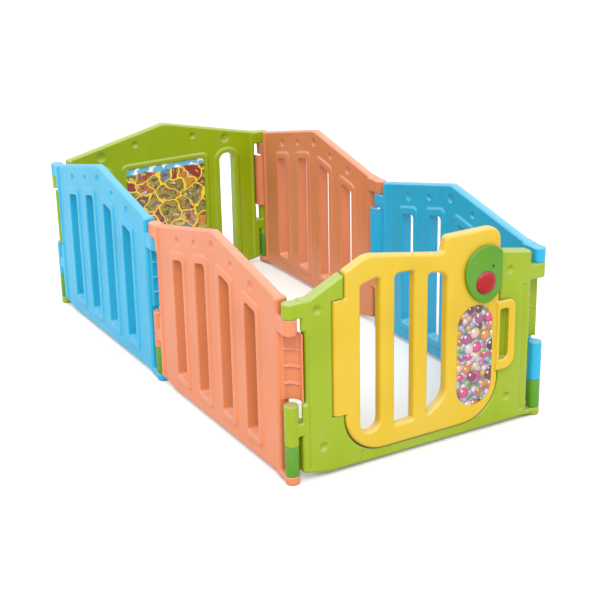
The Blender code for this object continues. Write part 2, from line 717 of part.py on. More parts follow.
# panel: (lug corner, turn about Z, colour name, colour, name stem of its neck-end joint)
PANELS = {
    "gate_frame": ((-HALF, FRONT_Y), 0, ("lime_plastic", LIME), "front_right"),
    "left_near_panel": ((-HALF, MIDDLE_Y), -90, ("orange_plastic", ORANGE), "front_left"),
    "left_far_panel": ((-HALF, REAR_Y), -90, ("blue_plastic", BLUE), "middle_left"),
    "picture_panel": ((HALF, REAR_Y), 180, ("lime_plastic", LIME), "rear_left"),
    "right_far_panel": ((HALF, MIDDLE_Y), 90, ("orange_plastic", ORANGE), "rear_right"),
    "right_near_panel": ((HALF, FRONT_Y), 90, ("blue_plastic", BLUE), "middle_right"),
}
# the corner on whose axis each panel turns, relative to the picture panel
TURNS_AT = {
    "left_far_panel": (-HALF, REAR_Y), "left_near_panel": (-HALF, MIDDLE_Y),
    "gate_frame": (-HALF, FRONT_Y), "right_far_panel": (HALF, REAR_Y),
    "right_near_panel": (HALF, MIDDLE_Y), "picture_panel": (0, 0),
}


def panel_matrix(panel):
    (x, y), turn, _, _ = PANELS[panel]
    return Matrix.Translation((x, y, 0)) @ Matrix.Rotation(math.radians(turn), 4, "Z")


def empty(name, x, y, z=0.0, parent=None):
    made = bpy.data.objects.new(name, None)
    PARTS.objects.link(made)
    made.parent = parent
    made.location = Vector((x, y, z)) - (parent.location if parent else Vector())
    return made


AXES = {panel: empty(panel + "_axis", x, y) for panel, (x, y) in TURNS_AT.items()}


def add(name, mesh, panel, look, axis=None):
    """Put a piece, drawn in its panel's frame, into the pen under its joint's empty."""
    axis = axis or AXES[panel]
    obj = new_object(name, mesh, PARTS)
    bpy.context.view_layer.update()
    obj.parent = axis
    obj.matrix_local = axis.matrix_world.inverted() @ panel_matrix(panel)
    paint(obj, look)
    return obj


def make_panels():
    shared = side_panel()
    for name, (_, _, look, _) in PANELS.items():
        if name == "gate_frame":
            mesh = gate_frame()
        elif name == "picture_panel":
            mesh = picture_panel()
        else:
            mesh = shared
        add(name, mesh, name, look)


def make_joint_hardware():
    """One upper pin and one joint lock at every corner, carried by the neck's panel."""
    pin = post(PIN_R, NECK[1] - PIN_REACH + 0.0005, UPPER_LUG[0] + PIN_REACH - 0.0005, (PITCH, 0),
               PIN_SIDES, 0.001)
    stub_ends = FOOT[1] - STUB_DOWN + 0.0005, LOWER_LUG[0] + STUB_UP - 0.0005
    lock = carve(post(KNUCKLE_R - 0.0005, *LOCK, (PITCH, 0), soft=0.0015), [
        ("UNION", post(STUB_R, *stub_ends, (PITCH, 0), PIN_SIDES)),
    ])
    for panel, (_, _, _, stem) in PANELS.items():
        add(stem + "_upper_pin", pin, panel, ("white_plastic", (0.7, 0.7, 0.68)))
        add(stem + "_joint_lock", lock, panel, ("green_plastic", GREEN))


def make_door():
    to_world = panel_matrix("gate_frame")
    at = to_world @ Vector((*DOOR_AXIS, 0))
    axis = empty("door_axis", at.x, at.y, parent=AXES["gate_frame"])
    bpy.context.view_layer.update()
    add("gate_door", door(), "gate_frame", ("yellow_plastic", YELLOW), axis)
    length = DOOR_PIN_REACH - 0.0005
    for name, ear_z, post_z, way in (("upper_door_pin", EAR_Z[1], NOTCH_Z[1], 1),
                                     ("lower_door_pin", EAR_Z[0], NOTCH_Z[0], -1)):
        low, high = sorted((ear_z - way * length, post_z + way * length))
        add(name, post(DOOR_PIN_R, low, high, DOOR_AXIS, PIN_SIDES, 0.0008), "gate_frame",
            ("steel", STEEL, 0.3, 1.0), axis)
    x, width, z0, z1 = STICKER
    front = DOOR_AXIS[1] - DOOR_THICK / 2
    r = width / 2 - 0.0005
    shape = rounded([(x - width / 2, z0, r), (x + width / 2, z0, r),
                     (x + width / 2, z1, r), (x - width / 2, z1, r)], 8)
    add("door_sticker", moved(plate("sticker", [shape], 0.0006), y=front - GAP - 0.0003),
        "gate_frame", ("sticker_print", PAPER), axis)
    return axis


def make_sound_module(door_axis):
    def fit(name, mesh, look, axis=door_axis):
        return add(name, mesh, "gate_frame", look, axis)

    board_y = -0.0075
    fit("sound_housing", sound_housing(), ("green_plastic", GREEN))
    cover = plate("cover", [egg(TUB_INSET)], 0.0028)
    fit("battery_cover", carve(moved(cover, y=DOOR_BACK - 0.0017), [
        ("DIFFERENCE", disc(0.0018, (-0.1, 0.1), SCREW_AT, segments=12))]),
        ("green_plastic", GREEN))
    board = plate("board", [egg(TUB_INSET + TUB_WALL + 0.0006)], 0.0016)
    fit("circuit_board", moved(board, y=board_y), ("board_green", BOARD_GREEN))
    speaker_at = (EGG_AT[0] - 0.004, 0.452)
    fit("speaker", disc(0.018, (board_y + 0.0011, board_y + 0.0085), speaker_at, 0.013, 24),
        ("black_plastic", BLACK))
    for k in range(3):
        at = (EGG_AT[0] - 0.016 + 0.016 * k, 0.508)
        fit(f"button_cell_{k + 1}", disc(0.0058, (board_y + 0.0011, board_y + 0.0065), at, segments=16),
            ("steel", STEEL, 0.3, 1.0))
    fit("indicator_lens", disc(0.004, (PLATE_Y[0] - 0.0006, PLATE_Y[0] + 0.0045), LED_AT, segments=12),
        ("black_plastic", BLACK))
    shank = disc(0.0015, (DOOR_BACK - 0.006, DOOR_BACK + 0.0003), SCREW_AT, segments=12)
    screw = carve(disc(0.0034, (DOOR_BACK, DOOR_BACK + 0.0006), SCREW_AT, segments=12),
                  [("UNION", shank)])
    fit("cover_screw", screw, ("steel", STEEL, 0.3, 1.0))
    at = door_axis.matrix_world.translation
    middle = panel_matrix("gate_frame") @ Vector((BUTTON_AT[0], 0, BUTTON_AT[1]))
    press = empty("button_axis", middle.x, middle.y, middle.z)
    press.parent = door_axis
    press.location = Vector((middle.x, middle.y, middle.z)) - at
    bpy.context.view_layer.update()
    fit("red_button", button(), ("red_plastic", RED), press)
    flange = PLATE_Y[0] + 0.0066 + 0.0025
    fit("button_spring", coil_spring(flange + 0.0008, board_y - 0.0016), ("steel", STEEL, 0.3, 1.0))


def make_picture_board():
    x0, x1, z0, z1 = (edge + way * 0.0008 for edge, way in zip(BOARD, (1, -1, 1, -1)))
    shape = rounded([(x0, z0, 0.011), (x1, z0, 0.011), (x1, z1, 0.011), (x0, z1, 0.011)])
    y = THICK / 2 - BOARD_POCKET + GAP + BOARD_THICK / 2
    add("picture_board", moved(plate("board", [shape], BOARD_THICK), y=y), "picture_panel",
        ("board_print", (0.6, 0.45, 0.15)))


def main():
    make_panels()
    make_joint_hardware()
    make_picture_board()
    make_sound_module(make_door())
    for obj in PARTS.objects:
        if obj.type == "MESH":
            obj.data.shade_smooth()
            obj.data.set_sharp_from_angle(angle=math.radians(35))


main()
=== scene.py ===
"""Looks of the folding playpen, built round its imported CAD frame."""
import math

import bmesh
import bpy
from mathutils import Matrix, Vector


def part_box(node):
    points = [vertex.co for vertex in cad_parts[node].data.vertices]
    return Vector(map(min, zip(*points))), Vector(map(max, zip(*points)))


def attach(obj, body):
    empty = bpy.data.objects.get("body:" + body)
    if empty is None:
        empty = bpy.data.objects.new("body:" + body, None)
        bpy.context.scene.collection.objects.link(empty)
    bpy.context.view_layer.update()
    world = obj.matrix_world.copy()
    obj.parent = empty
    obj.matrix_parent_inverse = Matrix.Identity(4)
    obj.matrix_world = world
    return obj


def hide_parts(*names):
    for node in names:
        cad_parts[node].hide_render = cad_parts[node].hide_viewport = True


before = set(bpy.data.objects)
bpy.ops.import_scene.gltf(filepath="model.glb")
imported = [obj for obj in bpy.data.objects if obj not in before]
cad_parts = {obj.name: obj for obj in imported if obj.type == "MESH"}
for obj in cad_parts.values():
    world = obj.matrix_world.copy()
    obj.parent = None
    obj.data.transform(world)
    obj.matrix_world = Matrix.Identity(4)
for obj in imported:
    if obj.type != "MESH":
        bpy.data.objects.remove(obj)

SCENE = bpy.context.scene
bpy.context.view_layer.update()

# ---- fineness ----
VOXEL = 0.0017       # cell of the moulded skins
PANEL_FINISH = ((4, 0.16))   # rounds of smoothing, share of triangles kept
DOOR_FINISH = ((5, 0.2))

# ---- driving dimensions ----
PITCH = 0.800            # hinge axis to hinge axis along one panel
THICK = 0.037            # gate frame, panel ends and the raised slot frames
FIELD_THICK = 0.028      # field of the side and picture panels
EDGE = 0.006             # softening of the panel's outer edges
GAP = 0.0003             # air between pieces that touch

PEAK_TOP = 0.592         # top of the gable
PEAK_HALF = 0.006        # half the flat at the peak
END_TOP = 0.512          # top of the panel at its ends
END_FROM_MIDDLE = 0.360  # where the slope meets the level end
END_BLOCK = 0.056        # the thick end reaches this far from the hinge axis
PANEL_FOOT = 0.010       # underside of a panel above the floor
LUG_END = 0.026          # panel body starts this far from the lug axis
LUG_SLANT = 0.046        # and this far on the inner face between the lugs
GUARD_END = 0.036        # and this far where the neighbour's finger guard turns
NECK_END = 0.036         # panel body stops this far from the neck axis

KNUCKLE_R = 0.0195       # radius of lugs, necks, feet
# pieces stacked on a hinge axis, from the top down: their low and high ends
UPPER_LUG = (0.4665, 0.508)
NECK = (0.422, 0.4660)
GUARD = (0.230, 0.4215)
LOWER_LUG = (0.1105, 0.2265)
LOWER_WEB = (0.137, 0.171)
LOCK = (0.0245, 0.1100)
FOOT = (0.0, 0.024)
GUARD_R = (0.0290, 0.0335)   # finger guard: inner and outer radius round the axis
GUARD_RIB_R = 0.0205         # its ribs reach in to here
GUARD_ARC = (188, 50)    # the guard's wall runs between these angles round the axis
GUARD_RIBS = 3
RIB_THICK = 0.004

PIN_R = 0.008            # upper hinge pin
PIN_REACH = 0.034        # how far it enters the neck and the lug
PIN_SIDES = 12
HOLE = 1.04              # a hole is this much wider than the pin that turns in it
STUB_R = 0.010           # stubs of the joint lock
STUB_UP = 0.026
STUB_DOWN = 0.016

SLOT_OFFSETS = (-0.2185, -0.073, 0.073, 0.2185)
SLOT_W = 0.060
SLOT_BOTTOM = 0.070
SLOT_BELOW_TOP = 0.101
FRAME_W = 0.108          # raised frame round a slot
FRAME_BOTTOM = 0.0445
FRAME_BELOW_TOP = 0.0725
FRAME_SLOPE = (0.0080, 0.0050)   # its sloping side: across the panel, and through it
BIG_DIMPLES, SMALL_DIMPLES = (-0.220, 0.0, 0.220), (-0.110, 0.110)
DIMPLE_BELOW_TOP = 0.043
BIG_DIMPLE_R, SMALL_DIMPLE_R = 0.015, 0.011
DIMPLE_DEPTH = 0.006
GROOVES = ((0.047, 0.005), (0.742, 0.012))   # gate frame: middle x, width
GROOVE_DEPTH = 0.003
GROOVE_Z = (0.032, 0.416)

FRONT_PROUD = 0.0435     # foremost point, the red button, in front of the gate's middle plane
FOOT_RISE = 0.100        # the underside slopes up to the lug's corner from here
LUG_FOOT = (0.026, 0.009)          # that corner's height and radius
NECK_CORNER_R = 0.010

# ---- gate dimensions ----
DOOR_AXIS = (0.1336, -0.0066)      # x, y in the gate's frame
DOOR_THICK = 0.032
DOOR_LEFT, DOOR_RIGHT = 0.154, 0.652
DOOR_BOTTOM = 0.040
EAR_Z = (0.1675, 0.4925)
EAR_R = DOOR_THICK / 2
POST_LEFT = 0.1515                 # right edge of the left post
POST_NOTCH = 0.114                 # the same beside the door's ear
POST_RIGHT = 0.6555
STOP_LEFT, STOP_RIGHT = 0.166, 0.640   # rear lip that the door shuts against
STOP_Y = 0.0102
SILL_TOP = 0.0375
SILL_STOP_TOP = 0.080
NOTCH_Z = (0.166, 0.494)
CORNER_R = 0.120                   # big lower corners of the door
DOOR_TOP = 0.603
SHOULDER_TOP = 0.557               # top of the frame's left post
RIGHT_POST_TOP = 0.529
OPEN_TOP = PEAK_TOP + 0.05         # cuts that open upwards run on to here
GATE_DIMPLES = ((0.072, 0.479, 0.013), (0.086, 0.090, 0.013),
                (0.688, 0.468, 0.013), (0.688, 0.088, 0.013))   # x, z, radius
DOOR_SLOT_LEFT = (0.201, 0.308, 0.4145)
DOOR_SLOT_W = 0.060
DOOR_SLOT_BOTTOM = 0.098
DOOR_PIN_R = 0.005
DOOR_PIN_REACH = 0.016
HANDLE_X = (0.640, 0.704)
HANDLE_Z = (0.180, 0.386)
HANDLE_Y = (-0.0305, -0.0189)
HANDLE_HOLE = (0.651, 0.6805, 0.211, 0.361)    # x0, x1, z0, z1
FINGER_ROOM = (0.6575, 0.6800, 0.213, 0.359)   # hollow in the right post behind it

BUTTON_AT = (0.594, 0.453)
BUTTON_R = 0.0325
EGG_AT = (0.598, 0.4875)
EGG_TOP_R, EGG_DROP, EGG_POWER = 0.070, 0.0945, 1.65
EGG_CUT_X = 0.6505
TUB_INSET = 0.013
TUB_WALL = 0.0025
PLATE_Y = (-0.0335, -0.0229)       # front plate of the sound module
LED_AT = (0.6175, 0.4965)
LED_R = 0.004
FLANGE_OUT, FLANGE_THICK = 0.003, 0.0025   # flange that holds the button in the housing
SPRING_SEAT = (0.006, 0.0045)              # boss inside the spring: radius, end behind the flange

BOARD = (0.247, 0.552, 0.188, 0.447)   # picture board: x0, x1, z0, z1
BOARD_POCKET = 0.008                   # depth of the pocket it sits in
PLAY_SLOTS = (0.155, 0.645)            # middles of the slots beside the board
PLAY_SLOT_TOP = 0.450
PLAY_FRAME_TOP = 0.472
# picture panel's dimples: from the middle, below the top, radius
PLAY_DIMPLES = ((0.241, 0.034, 0.018), (0.112, 0.036, 0.012))
BOARD_RIM = 0.020


def gable(x):
    """Height of the panel's top edge at x."""
    slope = (PEAK_TOP - END_TOP) / (END_FROM_MIDDLE - PEAK_HALF)
    out = min(max(abs(x - PITCH / 2) - PEAK_HALF, 0), END_FROM_MIDDLE - PEAK_HALF)
    return PEAK_TOP - slope * out


def new_object(name, mesh):
    """Object of a mesh or a curve, in the scene."""
    obj = bpy.data.objects.new(name, mesh)
    SCENE.collection.objects.link(obj)
    return obj


def mesh_of(bm, name):
    """Mesh of a finished bmesh."""
    mesh = bpy.data.meshes.new(name)
    bm.to_mesh(mesh)
    bm.free()
    return mesh


def evaluated(obj):
    """New mesh of the object as its modifiers leave it."""
    bpy.context.view_layer.update()
    depsgraph = bpy.context.evaluated_depsgraph_get()
    return bpy.data.meshes.new_from_object(obj.evaluated_get(depsgraph))


# ---- outlines ----
def rounded(corners, steps=7):
    """Closed outline from (x, z, radius) corners, each radius drawn as an arc."""
    points = []
    count = len(corners)
    for i, (x, z, radius) in enumerate(corners):
        here = Vector((x, z))
        if not radius:
            points.append(here)
            continue
        before = (Vector(corners[i - 1][:2]) - here).normalized()
        after = (Vector(corners[(i + 1) % count][:2]) - here).normalized()
        half = before.angle(after) / 2
        centre = here + (before + after).normalized() * radius / math.sin(half)
        start_at = here + before * radius / math.tan(half) - centre
        end_at = here + after * radius / math.tan(half) - centre
        turn = start_at.angle_signed(end_at)
        for k in range(steps + 1):
            spin = Matrix.Rotation(-turn * k / steps, 2)
            points.append(centre + spin @ start_at)
    return points


def arc(centre, radius, start_deg, end_deg, steps):
    """Points along an arc, in degrees from +X."""
    angles = [math.radians(start_deg + (end_deg - start_deg) * k / steps) for k in range(steps + 1)]
    return [Vector((centre[0] + radius * math.cos(a), centre[1] + radius * math.sin(a)))
            for a in angles]


def plate(name, loops, thick, edge=0.0, smooth=0, upright=True):
    """Mesh object of a flat outline with holes; upright plates stand in XZ, others lie in XY."""
    curve = bpy.data.curves.new(name, "CURVE")
    curve.dimensions = "2D"
    curve.fill_mode = "BOTH"
    curve.extrude = thick / 2 - edge
    curve.bevel_depth = edge
    curve.bevel_resolution = smooth
    curve.offset = -edge
    for loop in loops:
        spline = curve.splines.new("POLY")
        spline.points.add(len(loop) - 1)
        for point, (x, z) in zip(spline.points, loop):
            point.co = (x, z, 0, 1)
        spline.use_cyclic_u = True
    drawn = new_object(name, curve)
    if upright:
        drawn.rotation_euler.x = math.pi / 2
    mesh = evaluated(drawn)
    mesh.transform(drawn.matrix_world)
    bpy.data.objects.remove(drawn)
    bpy.data.curves.remove(curve)
    return clean(mesh)


def clean(mesh):
    """Merge doubled points and turn every face outward."""
    bm = bmesh.new()
    bm.from_mesh(mesh)
    bmesh.ops.remove_doubles(bm, verts=bm.verts, dist=0.000001)
    bmesh.ops.recalc_face_normals(bm, faces=bm.faces)
    bm.to_mesh(mesh)
    bm.free()
    return mesh


def moved(mesh, x=0.0, y=0.0, z=0.0):
    """The same mesh, shifted."""
    mesh.transform(Matrix.Translation((x, y, z)))
    return mesh


def post(radius, low, high, at=(0.0, 0.0), segments=56, soft=0.0):
    """Upright cylinder, its ends softened by a small chamfer."""
    bm = bmesh.new()
    bmesh.ops.create_cone(bm, cap_ends=True, segments=segments, radius1=radius, radius2=radius,
                          depth=high - low)
    if soft:
        rims = [e for e in bm.edges if abs(e.verts[0].co.z - e.verts[1].co.z) < 1e-6]
        bmesh.ops.bevel(bm, geom=rims, offset=soft, segments=4, profile=0.5, affect="EDGES")
    bmesh.ops.translate(bm, verts=bm.verts, vec=(at[0], at[1], (low + high) / 2))
    return mesh_of(bm, "post")


def block(x, y, z):
    """Box from three (low, high) pairs."""
    bm = bmesh.new()
    bmesh.ops.create_cube(bm, size=1)
    sizes = [pair[1] - pair[0] for pair in (x, y, z)]
    middle = [(pair[1] + pair[0]) / 2 for pair in (x, y, z)]
    bmesh.ops.scale(bm, verts=bm.verts, vec=sizes)
    bmesh.ops.translate(bm, verts=bm.verts, vec=middle)
    return mesh_of(bm, "block")


def disc(radius, y, at, segments=64):
    """Cylinder lying along Y, from y[0] to y[1]."""
    bm = bmesh.new()
    bmesh.ops.create_cone(bm, cap_ends=True, segments=segments, radius1=radius, radius2=radius,
                          depth=y[1] - y[0])
    bmesh.ops.rotate(bm, verts=bm.verts, matrix=Matrix.Rotation(math.pi / 2, 3, "X"))
    bmesh.ops.translate(bm, verts=bm.verts, vec=(at[0], (y[0] + y[1]) / 2, at[1]))
    return mesh_of(bm, "disc")


def joined(meshes):
    """Separate closed shapes in one mesh, for one cutter."""
    bm = bmesh.new()
    for mesh in meshes:
        bm.from_mesh(mesh)
        bpy.data.meshes.remove(mesh)
    return mesh_of(bm, "joined")


def carve(base, steps):
    """Apply (operation, mesh) Boolean steps to a mesh and return the result."""
    body = new_object("body", base)
    tools = []
    for operation, mesh in steps:
        tool = new_object("cutter", mesh)
        tools.append(tool)
        boolean = body.modifiers.new(operation.lower(), "BOOLEAN")
        boolean.operation = operation
        boolean.object = tool
        boolean.solver = "EXACT"
    result = evaluated(body)
    for obj in (body, *tools):
        bpy.data.objects.remove(obj)
    return clean(result)


# ---- panel pieces ----
def lug_edge(inset=0.0):
    """The panel's edge at its lug end, from the top down, set back beside the finger guard."""
    end, back = LUG_END + inset, GUARD_END + inset
    return [(end, GUARD[1] + 0.0085, 0), (back, GUARD[1] + 0.002, 0),
            (back, GUARD[0] - 0.002, 0), (end, GUARD[0] - 0.0085, 0)]


def panel_outline():
    """Gabled outline of a panel, counter-clockwise."""
    middle = PITCH / 2
    right = PITCH - NECK_END
    return rounded([
        (LUG_END, *LUG_FOOT), (FOOT_RISE, PANEL_FOOT, 0), (right, PANEL_FOOT, 0),
        (right, END_TOP, NECK_CORNER_R), (middle + PEAK_HALF, PEAK_TOP, 0.04),
        (middle - PEAK_HALF, PEAK_TOP, 0.04),
        (middle - END_FROM_MIDDLE, END_TOP, 0), (LUG_END, END_TOP, 0),
        *lug_edge(),
    ])


def slot_outline(middle, width, bottom, below_top, radius, steps=8):
    """Upright slot whose top runs parallel to the gable."""
    left, right = middle - width / 2, middle + width / 2
    return rounded([
        (left, bottom, radius), (right, bottom, radius),
        (right, gable(right) - below_top, radius), (left, gable(left) - below_top, radius),
    ], steps)


def slot_cut(middle):
    """Cutter of one slot."""
    outline = slot_outline(middle, SLOT_W, SLOT_BOTTOM, SLOT_BELOW_TOP, 0.012)
    return plate("slot", [outline], THICK * 2)


def oblong(left, right, bottom, top, low_radius, high_radius, steps=7):
    """Outline of an upright rectangle with rounded corners."""
    return rounded([(left, bottom, low_radius), (right, bottom, low_radius),
                    (right, top, high_radius), (left, top, high_radius)], steps)


def round_topped(middle, width, bottom, top, low_radius, high_radius):
    """Outline of a slot, or of its frame, with a level and well rounded top."""
    return oblong(middle - width / 2, middle + width / 2, bottom, top, low_radius, high_radius, 12)


def raised(outline):
    """Raised frame with sloping sides, standing out of both faces."""
    across, through = FRAME_SLOPE
    mesh = plate("slot_frame", [outline], THICK * across / through, across)
    mesh.transform(Matrix.Diagonal((1, through / across, 1, 1)))
    return mesh


def slot_frame(middle):
    """Raised frame round one slot."""
    return raised(slot_outline(middle, FRAME_W, FRAME_BOTTOM, FRAME_BELOW_TOP, 0.022))


def end_blocks(inset=0.0004):
    """Thick upright strips at both ends of a panel, a hair inside its outline."""
    near, far = END_BLOCK, PITCH - END_BLOCK
    left, right = LUG_END + inset, PITCH - NECK_END - inset
    top, foot = END_TOP - inset, PANEL_FOOT + inset
    lug_side = rounded([
        (left, 0.027, 0.009), (near, 0.0205, 0), (near, gable(near) - inset, 0),
        (PITCH / 2 - END_FROM_MIDDLE, top, 0), (left, top, 0), *lug_edge(inset),
    ])
    neck_side = rounded([
        (far, foot, 0), (right, foot, 0), (right, top, NECK_CORNER_R),
        (far, gable(far) - inset, 0),
    ])
    return [plate("lug_side", [lug_side], THICK, EDGE),
            plate("neck_side", [neck_side], THICK, EDGE)]


def lug_slant():
    """Cut that slants the inner corner of the lug end between the two lugs."""
    out = THICK
    shape = [Vector(p) for p in ((LUG_END - 0.0005, -0.009), (LUG_SLANT, THICK / 2 + 0.001),
                                 (LUG_SLANT, out), (LUG_END - 0.0005, out))]
    low, high = LOWER_WEB[1] + 0.002, UPPER_LUG[0] - 0.0005
    return moved(plate("slant", [shape], high - low, upright=False), z=(low + high) / 2)


def dimple_cuts(places, thick=THICK):
    """Round cup-shaped dimples in both faces; places are (x, z, radius)."""
    cuts = []
    for x, z, radius in places:
        ball = (radius ** 2 + DIMPLE_DEPTH ** 2) / (2 * DIMPLE_DEPTH)
        for side in (-1, 1):
            bm = bmesh.new()
            bmesh.ops.create_uvsphere(bm, u_segments=40, v_segments=24, radius=ball)
            y = side * (thick / 2 - DIMPLE_DEPTH + ball)
            bmesh.ops.translate(bm, verts=bm.verts, vec=(x, y, z))
            cuts.append(mesh_of(bm, "cup"))
    return cuts


def row_of_dimples():
    """Cutters of the dimples under a side panel's gable."""
    middle = PITCH / 2
    places = [(middle + x, BIG_DIMPLE_R) for x in BIG_DIMPLES]
    places += [(middle + x, SMALL_DIMPLE_R) for x in SMALL_DIMPLES]
    return dimple_cuts([(x, gable(x) - DIMPLE_BELOW_TOP, r) for x, r in places], FIELD_THICK)


def groove_cuts():
    """Upright grooves near both ends of the gate's frame, in both faces."""
    cuts = []
    for x, width in GROOVES:
        for side in (-1, 1):
            ys = sorted((side * (THICK / 2 - GROOVE_DEPTH), side * (THICK / 2 + 0.002)))
            cuts.append(block((x - width / 2, x + width / 2), ys, GROOVE_Z))
    return cuts


def knuckle(low, high, axis_x, body_x, web=None, soft=0.002):
    """Round knuckle on an axis, with the web that joins it to the panel body."""
    web_low, web_high = web or (low, high)
    half = THICK / 2 - 0.0008
    tab = block(sorted((axis_x, body_x)), (-half, half), (web_low + 0.0004, web_high - 0.0004))
    return [("UNION", tab), ("UNION", post(KNUCKLE_R, low, high, (axis_x, 0), soft=soft))]


def guard_steps():
    """Finger guard: a curved wall inside the axis, with level ribs."""
    axis = (PITCH, 0)
    first, last = GUARD_ARC
    steps = 24
    wall = arc(axis, GUARD_R[1], first, last, steps) + arc(axis, GUARD_R[0], last, first, steps)
    rib_first, rib_last = first - 4, last + 38
    rib = arc(axis, GUARD_R[1] - 0.002, rib_first, rib_last, 20)
    rib += arc(axis, GUARD_RIB_R, rib_last, rib_first, 20)
    middle, height = (GUARD[0] + GUARD[1]) / 2, GUARD[1] - GUARD[0]
    ribs = [moved(plate("rib", [rib], RIB_THICK, upright=False),
                  z=GUARD[0] + height * (k + 1) / (GUARD_RIBS + 1)) for k in range(GUARD_RIBS)]
    web = block((PITCH - NECK_END - 0.004, PITCH - 0.0295), (-0.002, 0.014),
                (GUARD[0] + 0.001, GUARD[1] - 0.001))
    return [("UNION", moved(plate("guard", [wall], height, upright=False), z=middle)),
            ("UNION", web),
            ("UNION", joined(ribs))]


def end_steps():
    """Lugs at one end, neck, guard and foot at the other, and their pin holes."""
    body_left, body_right = LUG_END + 0.010, PITCH - NECK_END - 0.010
    steps = knuckle(*UPPER_LUG, 0, body_left)
    steps += knuckle(*LOWER_LUG, 0, body_left, LOWER_WEB)
    steps += knuckle(*NECK, PITCH, body_right)
    steps += knuckle(*FOOT, PITCH, body_right, (PANEL_FOOT, FOOT[1]), 0.004)
    steps += guard_steps()
    steps.append(("DIFFERENCE", lug_slant()))
    hole, stub = PIN_R * HOLE, STUB_R * HOLE
    steps.append(("DIFFERENCE", joined([
        post(hole, UPPER_LUG[0] - 0.003, UPPER_LUG[0] + PIN_REACH, segments=PIN_SIDES),
        post(hole, NECK[1] - PIN_REACH, NECK[1] + 0.01, (PITCH, 0), PIN_SIDES),
        post(stub, LOWER_LUG[0] - 0.01, LOWER_LUG[0] + STUB_UP, segments=PIN_SIDES),
        post(stub, FOOT[1] - STUB_DOWN, FOOT[1] + 0.01, (PITCH, 0), PIN_SIDES),
    ])))
    return steps


def side_panel():
    """Side panel: four slots in raised frames under a gable."""
    middle = PITCH / 2
    return carve(plate("side", [panel_outline()], FIELD_THICK, EDGE), [
        ("UNION", joined(end_blocks())),
        ("UNION", joined([slot_frame(middle + offset) for offset in SLOT_OFFSETS])),
        ("DIFFERENCE", joined([slot_cut(middle + offset) for offset in SLOT_OFFSETS])),
        ("DIFFERENCE", joined(row_of_dimples())),
        *end_steps(),
    ])


def picture_panel():
    """Panel opposite the gate: a rimmed pocket for the play board, a slot on each side of it."""
    x0, x1, z0, z1 = BOARD
    out = BOARD_RIM
    rim = oblong(x0 - out, x1 + out, z0 - out, z1 + out, 0.026, 0.026)
    pocket = oblong(x0, x1, z0, z1, 0.012, 0.012)
    pocket_cut = moved(plate("pocket", [pocket], 2 * BOARD_POCKET), y=THICK / 2)
    slots = [round_topped(x, SLOT_W, SLOT_BOTTOM, PLAY_SLOT_TOP, 0.012, 0.027) for x in PLAY_SLOTS]
    frames = [round_topped(x, FRAME_W, FRAME_BOTTOM, PLAY_FRAME_TOP, 0.022, 0.050)
              for x in PLAY_SLOTS]
    dimples = []
    for away, below, radius in PLAY_DIMPLES:
        dimples += [(x, gable(x) - below, radius) for x in (PITCH / 2 - away, PITCH / 2 + away)]
    return carve(plate("picture", [panel_outline()], FIELD_THICK, EDGE), [
        ("UNION", joined(end_blocks())),
        ("UNION", joined([*map(raised, frames), plate("rim", [rim], THICK, 0.006)])),
        ("DIFFERENCE", joined([plate("slot", [slot], THICK * 2) for slot in slots])),
        ("DIFFERENCE", pocket_cut),
        ("DIFFERENCE", joined(dimple_cuts(dimples, FIELD_THICK))),
        *end_steps(),
    ])


# ---- the gate ----
def door_corners():
    """Corners of the door without its ear, counter-clockwise: x, z, radius."""
    return [
        (DOOR_LEFT, DOOR_BOTTOM, CORNER_R), (DOOR_RIGHT, DOOR_BOTTOM, CORNER_R),
        (DOOR_RIGHT, DOOR_TOP, 0.040), (0.472, DOOR_TOP, 0.014), (0.460, 0.558, 0.010),
        (0.223, 0.599, 0.070), (DOOR_LEFT, 0.566, 0.010),
    ]


def frame_outline():
    """The gate's frame: its left post rises in a shoulder, its right post slopes down."""
    right = PITCH - NECK_END
    return rounded([
        (LUG_END, *LUG_FOOT), (FOOT_RISE, PANEL_FOOT, 0), (right, PANEL_FOOT, 0),
        (right, 0.509, NECK_CORNER_R), (POST_RIGHT, RIGHT_POST_TOP, 0),
        (POST_RIGHT - 0.020, RIGHT_POST_TOP, 0), (POST_LEFT + 0.020, SHOULDER_TOP, 0),
        (0.144, SHOULDER_TOP, 0.012), (0.050, END_TOP, 0),
        (LUG_END, END_TOP, 0), *lug_edge(),
    ])


def frame_opening():
    """Pocket that the door shuts into, open at the top, with a notch for the door's ear."""
    return rounded([
        (POST_LEFT, SILL_TOP, CORNER_R), (POST_RIGHT, SILL_TOP, CORNER_R),
        (POST_RIGHT, OPEN_TOP, 0), (POST_LEFT, OPEN_TOP, 0), (POST_LEFT, NOTCH_Z[1], 0),
        (POST_NOTCH, NOTCH_Z[1], 0), (POST_NOTCH, NOTCH_Z[0], 0), (POST_LEFT, NOTCH_Z[0], 0),
    ], steps=16)


def open_topped(left, right, low, radius, steps):
    """Outline with round lower corners that runs out over the gate's top."""
    return rounded([(left, low, radius), (right, low, radius),
                    (right, OPEN_TOP, 0), (left, OPEN_TOP, 0)], steps)


def opening_chamfer(size=0.003):
    """Chamfer round the front of the pocket, which also lets the door swing past the post."""
    outline = open_topped(POST_LEFT - size, POST_RIGHT + size, SILL_TOP - size,
                          CORNER_R + size, 14)
    return moved(plate("chamfer", [outline], 2 * size + 0.0002, size), y=-THICK / 2)


